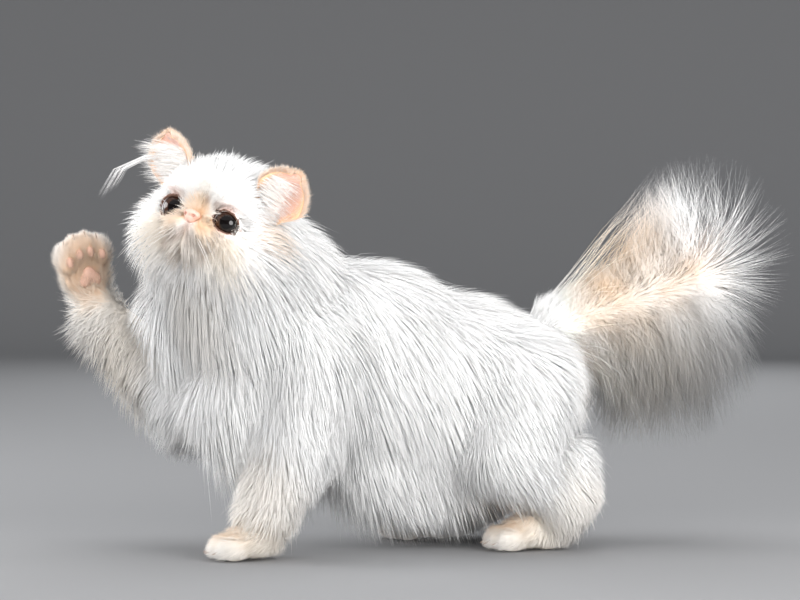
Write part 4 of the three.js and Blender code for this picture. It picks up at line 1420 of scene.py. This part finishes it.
def bristle_tree(material):
    """Turns drawn paths into tapered round bristles."""
    tree = bpy.data.node_groups.new("bristles", "GeometryNodeTree")
    for name, way, kind in (("Paths", "INPUT", "Geometry"), ("Root radius", "INPUT", "Float"),
                            ("Sides", "INPUT", "Int"), ("Bristles", "OUTPUT", "Geometry")):
        tree.interface.new_socket(name, in_out=way, socket_type="NodeSocket" + kind)
    nodes = {name: tree.nodes.new(kind) for name, kind in (
        ("given", "NodeGroupInput"), ("curves", "GeometryNodeMeshToCurve"),
        ("along", "GeometryNodeSplineParameter"), ("left", "ShaderNodeMath"), ("radius", "ShaderNodeMath"),
        ("round", "GeometryNodeCurvePrimitiveCircle"),
        ("tube", "GeometryNodeCurveToMesh"), ("real", "GeometryNodeRealizeInstances"),
        ("finish", "GeometryNodeSetMaterial"), ("made", "NodeGroupOutput"))}
    nodes["left"].operation = "SUBTRACT"
    nodes["left"].inputs[0].default_value = 1.04
    nodes["radius"].operation = "MULTIPLY"
    nodes["round"].inputs["Radius"].default_value = 1.0
    nodes["tube"].inputs["Fill Caps"].default_value = True
    nodes["finish"].inputs["Material"].default_value = material
    for source, out, target, into in (
            ("given", "Paths", "curves", 0), ("along", "Factor", "left", 1), ("left", 0, "radius", 0),
            ("given", "Root radius", "radius", 1), ("curves", 0, "tube", 0), ("radius", 0, "tube", "Scale"),
            ("given", "Sides", "round", "Resolution"), ("round", 0, "tube", 1), ("tube", 0, "real", 0),
            ("real", 0, "finish", 0), ("finish", 0, "made", 0)):
        tree.links.new(nodes[source].outputs[out], nodes[target].inputs[into])
    return tree


def whisker_paths():
    """Whiskers from the pads beside the nose, and a few bristles over each eye."""
    paths = []
    order = np.random.default_rng(7)

    def path(root, way, length, droop):
        way = unit(way)
        steps = np.linspace(0, 1, 13)[:, None]
        paths.append(root + way * length * steps + vec(0, 0, -droop) * length * steps ** 2)

    for side in (1, -1):
        for row in range(3):
            for place in range(3):
                down = -12 - 3.6 * row + order.normal(0, 0.6)
                root = HEAD.point(6 - 3.0 * place, side * (8 + 3.4 * place), down)
                way = HEAD.direction(0.35 - 0.16 * place, side, -0.32 - 0.18 * row)
                path(root, way + order.normal(0, 0.08, 3), order.uniform(22, 38), order.uniform(0.25, 0.5))
        for place in range(3):
            root = HEAD.point(-1, side * (17 + 3 * place), 17 + order.normal(0, 1))
            way = HEAD.direction(0.45, side * 0.5, 1.0) + order.normal(0, 0.1, 3)
            path(root, way, order.uniform(16, 26), 0.1)
    return paths


def make_whiskers():
    hair = Shader("whisker", Roughness=0.4, Specular_IOR_Level=0.4)
    grain = hair.node("ShaderNodeTexNoise", {}, {"Vector": hair.place(), "Scale": 400.0})
    ramp = [(0.3, (0.86, 0.83, 0.80)), (0.7, (0.93, 0.92, 0.91))]
    hair.feed("Base Color", hair.node("ShaderNodeValToRGB", {"ramp": ramp}, {"Fac": grain}))
    paths = whisker_paths()
    mesh = bpy.data.meshes.new("whisker_paths")
    each = len(paths[0])
    edges = [(n * each + k, n * each + k + 1) for n in range(len(paths)) for k in range(each - 1)]
    mesh.from_pydata([tuple(point) for point in placed(np.concatenate(paths))], edges, [])
    thing = new_object("whiskers", mesh)
    modifier = thing.modifiers.new("bristles", "NODES")
    modifier.node_group = bristle_tree(hair.material)
    sizes = {"Root radius": WHISKER_RADIUS * MM, "Sides": WHISKER_SIDES}
    for item in modifier.node_group.interface.items_tree:
        if item.name in sizes:
            modifier[item.identifier] = sizes[item.name]
    bpy.context.view_layer.update()
    evaluated = thing.evaluated_get(bpy.context.evaluated_depsgraph_get())
    made = bpy.data.meshes.new_from_object(evaluated)
    thing.modifiers.remove(modifier)
    thing.data = made
    shade_smooth(made)
    return thing


# Build
skin = make_skin()
unwrap(skin)
coat = make_coat(Skin(skin), 1.0)
skin.data.materials.append(skin_material())
fur = fur_material()
for piece in coat:
    piece.data.materials.append(fur)
    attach(piece, "root")
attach(skin, "root")
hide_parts(*FLESH_NODES)

eye_gloss = marked("eye", Roughness=0.03, IOR=1.45).material
for side, name in ((1, "eye_left"), (-1, "eye_right")):
    eye = make_eye(side, name + "_globe")
    eye.data.materials.append(eye_gloss)
    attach(eye, "root")
    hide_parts(name)

short_fur = skin.data.materials[0]
eyelids = make_eyelids()
eyelids.data.materials.append(short_fur)
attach(eyelids, "root")

for side, name in ((1, "ear_left"), (-1, "ear_right")):
    ear = make_ear(side, name + "_shell")
    ear.data.materials.append(short_fur)
    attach(ear, "root")
    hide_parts(name)
ear_coat = tuft_mesh("coat_ears", make_ear_coat(), 12, 0.25)
ear_coat.data.materials.append(fur)
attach(ear_coat, "root")

nose = field_piece("nose_skin", nose_field, HEAD.point(7, 0, -5), vec(17, 17, 17), 0.55)
nose.data.materials.append(leather_material("nose_leather", (0.66, 0.43, 0.36), (0.48, 0.26, 0.21), 1800.0))
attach(nose, "root")
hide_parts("nose")

pads = field_piece("paw_pads", pad_field, PAWS["forepaw_right"].point(4, 0, -1), vec(34, 34, 34), 0.7)
pads.data.materials.append(leather_material("paw_pad", (0.56, 0.35, 0.27), (0.44, 0.25, 0.18), 1400.0))
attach(pads, "root")
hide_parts("pad_palm", *(f"pad_toe_{n}" for n in range(1, 5)))

whiskers = make_whiskers()
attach(whiskers, "root")

claws = make_claws()
claws.data.materials.append(marked("claw", Roughness=0.3, Coat_Weight=0.3).material)
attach(claws, "root")
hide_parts(*(f"claw_{foot}_{n}" for foot in ("fore_left", "fore_right", "hind_left", "hind_right")
                     for n in range(1, 5)))


# Stage, camera and light
FLOOR_GREY = (0.23, 0.233, 0.24, 1)
SENSOR = 36.0
# The photograph's frame is 800 across and its focal length 2850 of the same units, in its own pixels
FRAME_ACROSS, FOCAL = 800, 2850
CAMERA_PLACE = vec(-19.3, -2500, 300.6)
CAMERA_DOWN = 1.93  # degrees
WARM, NEUTRAL = (1.0, 0.985, 0.97), (1, 1, 1)
AIM = (-0.05, 0, 0.17)


def make_floor():
    """A round floor whose rim sweeps up into the backdrop on every side."""
    flat, sweep, top, around = 3.2, 1.2, 3.4, 128
    profile = [(0.02, 0.0), (1.2, 0.0), (2.4, 0.0), (flat, 0.0)]
    profile += [(flat + sweep * math.sin(a), sweep - sweep * math.cos(a))
                for a in np.linspace(0, math.pi / 2, 25)[1:]]
    profile.append((flat + sweep, top))
    work = bmesh.new()
    rings = [[work.verts.new((r * math.cos(turn), r * math.sin(turn), z))
              for turn in np.linspace(0, 2 * math.pi, around, endpoint=False)] for r, z in profile]
    work.faces.new(rings[0])
    for low, high in zip(rings, rings[1:]):
        for n in range(around):
            m = (n + 1) % around
            work.faces.new((low[n], high[n], high[m], low[m])).smooth = True
    mesh = bpy.data.meshes.new("floor")
    work.to_mesh(mesh)
    work.free()
    floor = new_object("floor", mesh)
    paper = Shader("floor_paper", Base_Color=FLOOR_GREY, Roughness=0.9, Specular_IOR_Level=0.1)
    mesh.materials.append(paper.material)


def make_camera():
    data = bpy.data.cameras.new("camera")
    data.sensor_width = SENSOR
    data.lens = SENSOR * FOCAL / FRAME_ACROSS
    data.clip_end = 100
    camera = new_object("camera", data)
    camera.location = placed(CAMERA_PLACE)
    camera.rotation_euler = (math.radians(90 - CAMERA_DOWN), 0, 0)
    bpy.context.scene.camera = camera


def area_light(name, place, size, power, colour=NEUTRAL, mirrored=False):
    """A round soft light turned to the cat. A mirrored one shows in the gloss of the eyes."""
    data = bpy.data.lights.new(name, "AREA")
    data.shape = "DISK"
    data.size = size
    data.energy = power
    data.color = colour
    light = new_object(name, data)
    light.location = place
    light.rotation_euler = (Vector(AIM) - Vector(place)).to_track_quat("-Z", "Y").to_euler()
    light.visible_camera = False
    light.visible_glossy = mirrored


def make_light():
    area_light("key", (1.15, -1.30, 0.55), 1.4, 47, WARM, mirrored=True)
    area_light("fill", (-1.6, -2.1, 0.80), 2.0, 62, WARM)
    area_light("front", (-0.1, -2.9, 0.8), 2.2, 38, WARM)
    area_light("top", (0.1, 0.2, 2.5), 2.2, 38)
    area_light("rim", (-1.8, 0.45, 0.75), 1.1, 26, mirrored=True)
    area_light("back", (0.3, 2.5, 1.3), 1.8, 26)
    world = bpy.data.worlds.new("studio")
    world.use_nodes = True
    background = world.node_tree.nodes["Background"].inputs
    background["Color"].default_value = (0.97, 0.98, 1.0, 1)
    background["Strength"].default_value = 0.5
    scene = bpy.context.scene
    scene.world = world
    scene.view_settings.view_transform = "Standard"
    scene.cycles.diffuse_bounces = 14
    scene.cycles.max_bounces = 16


make_floor()
make_camera()
make_light()

bpy.context.view_layer.update()
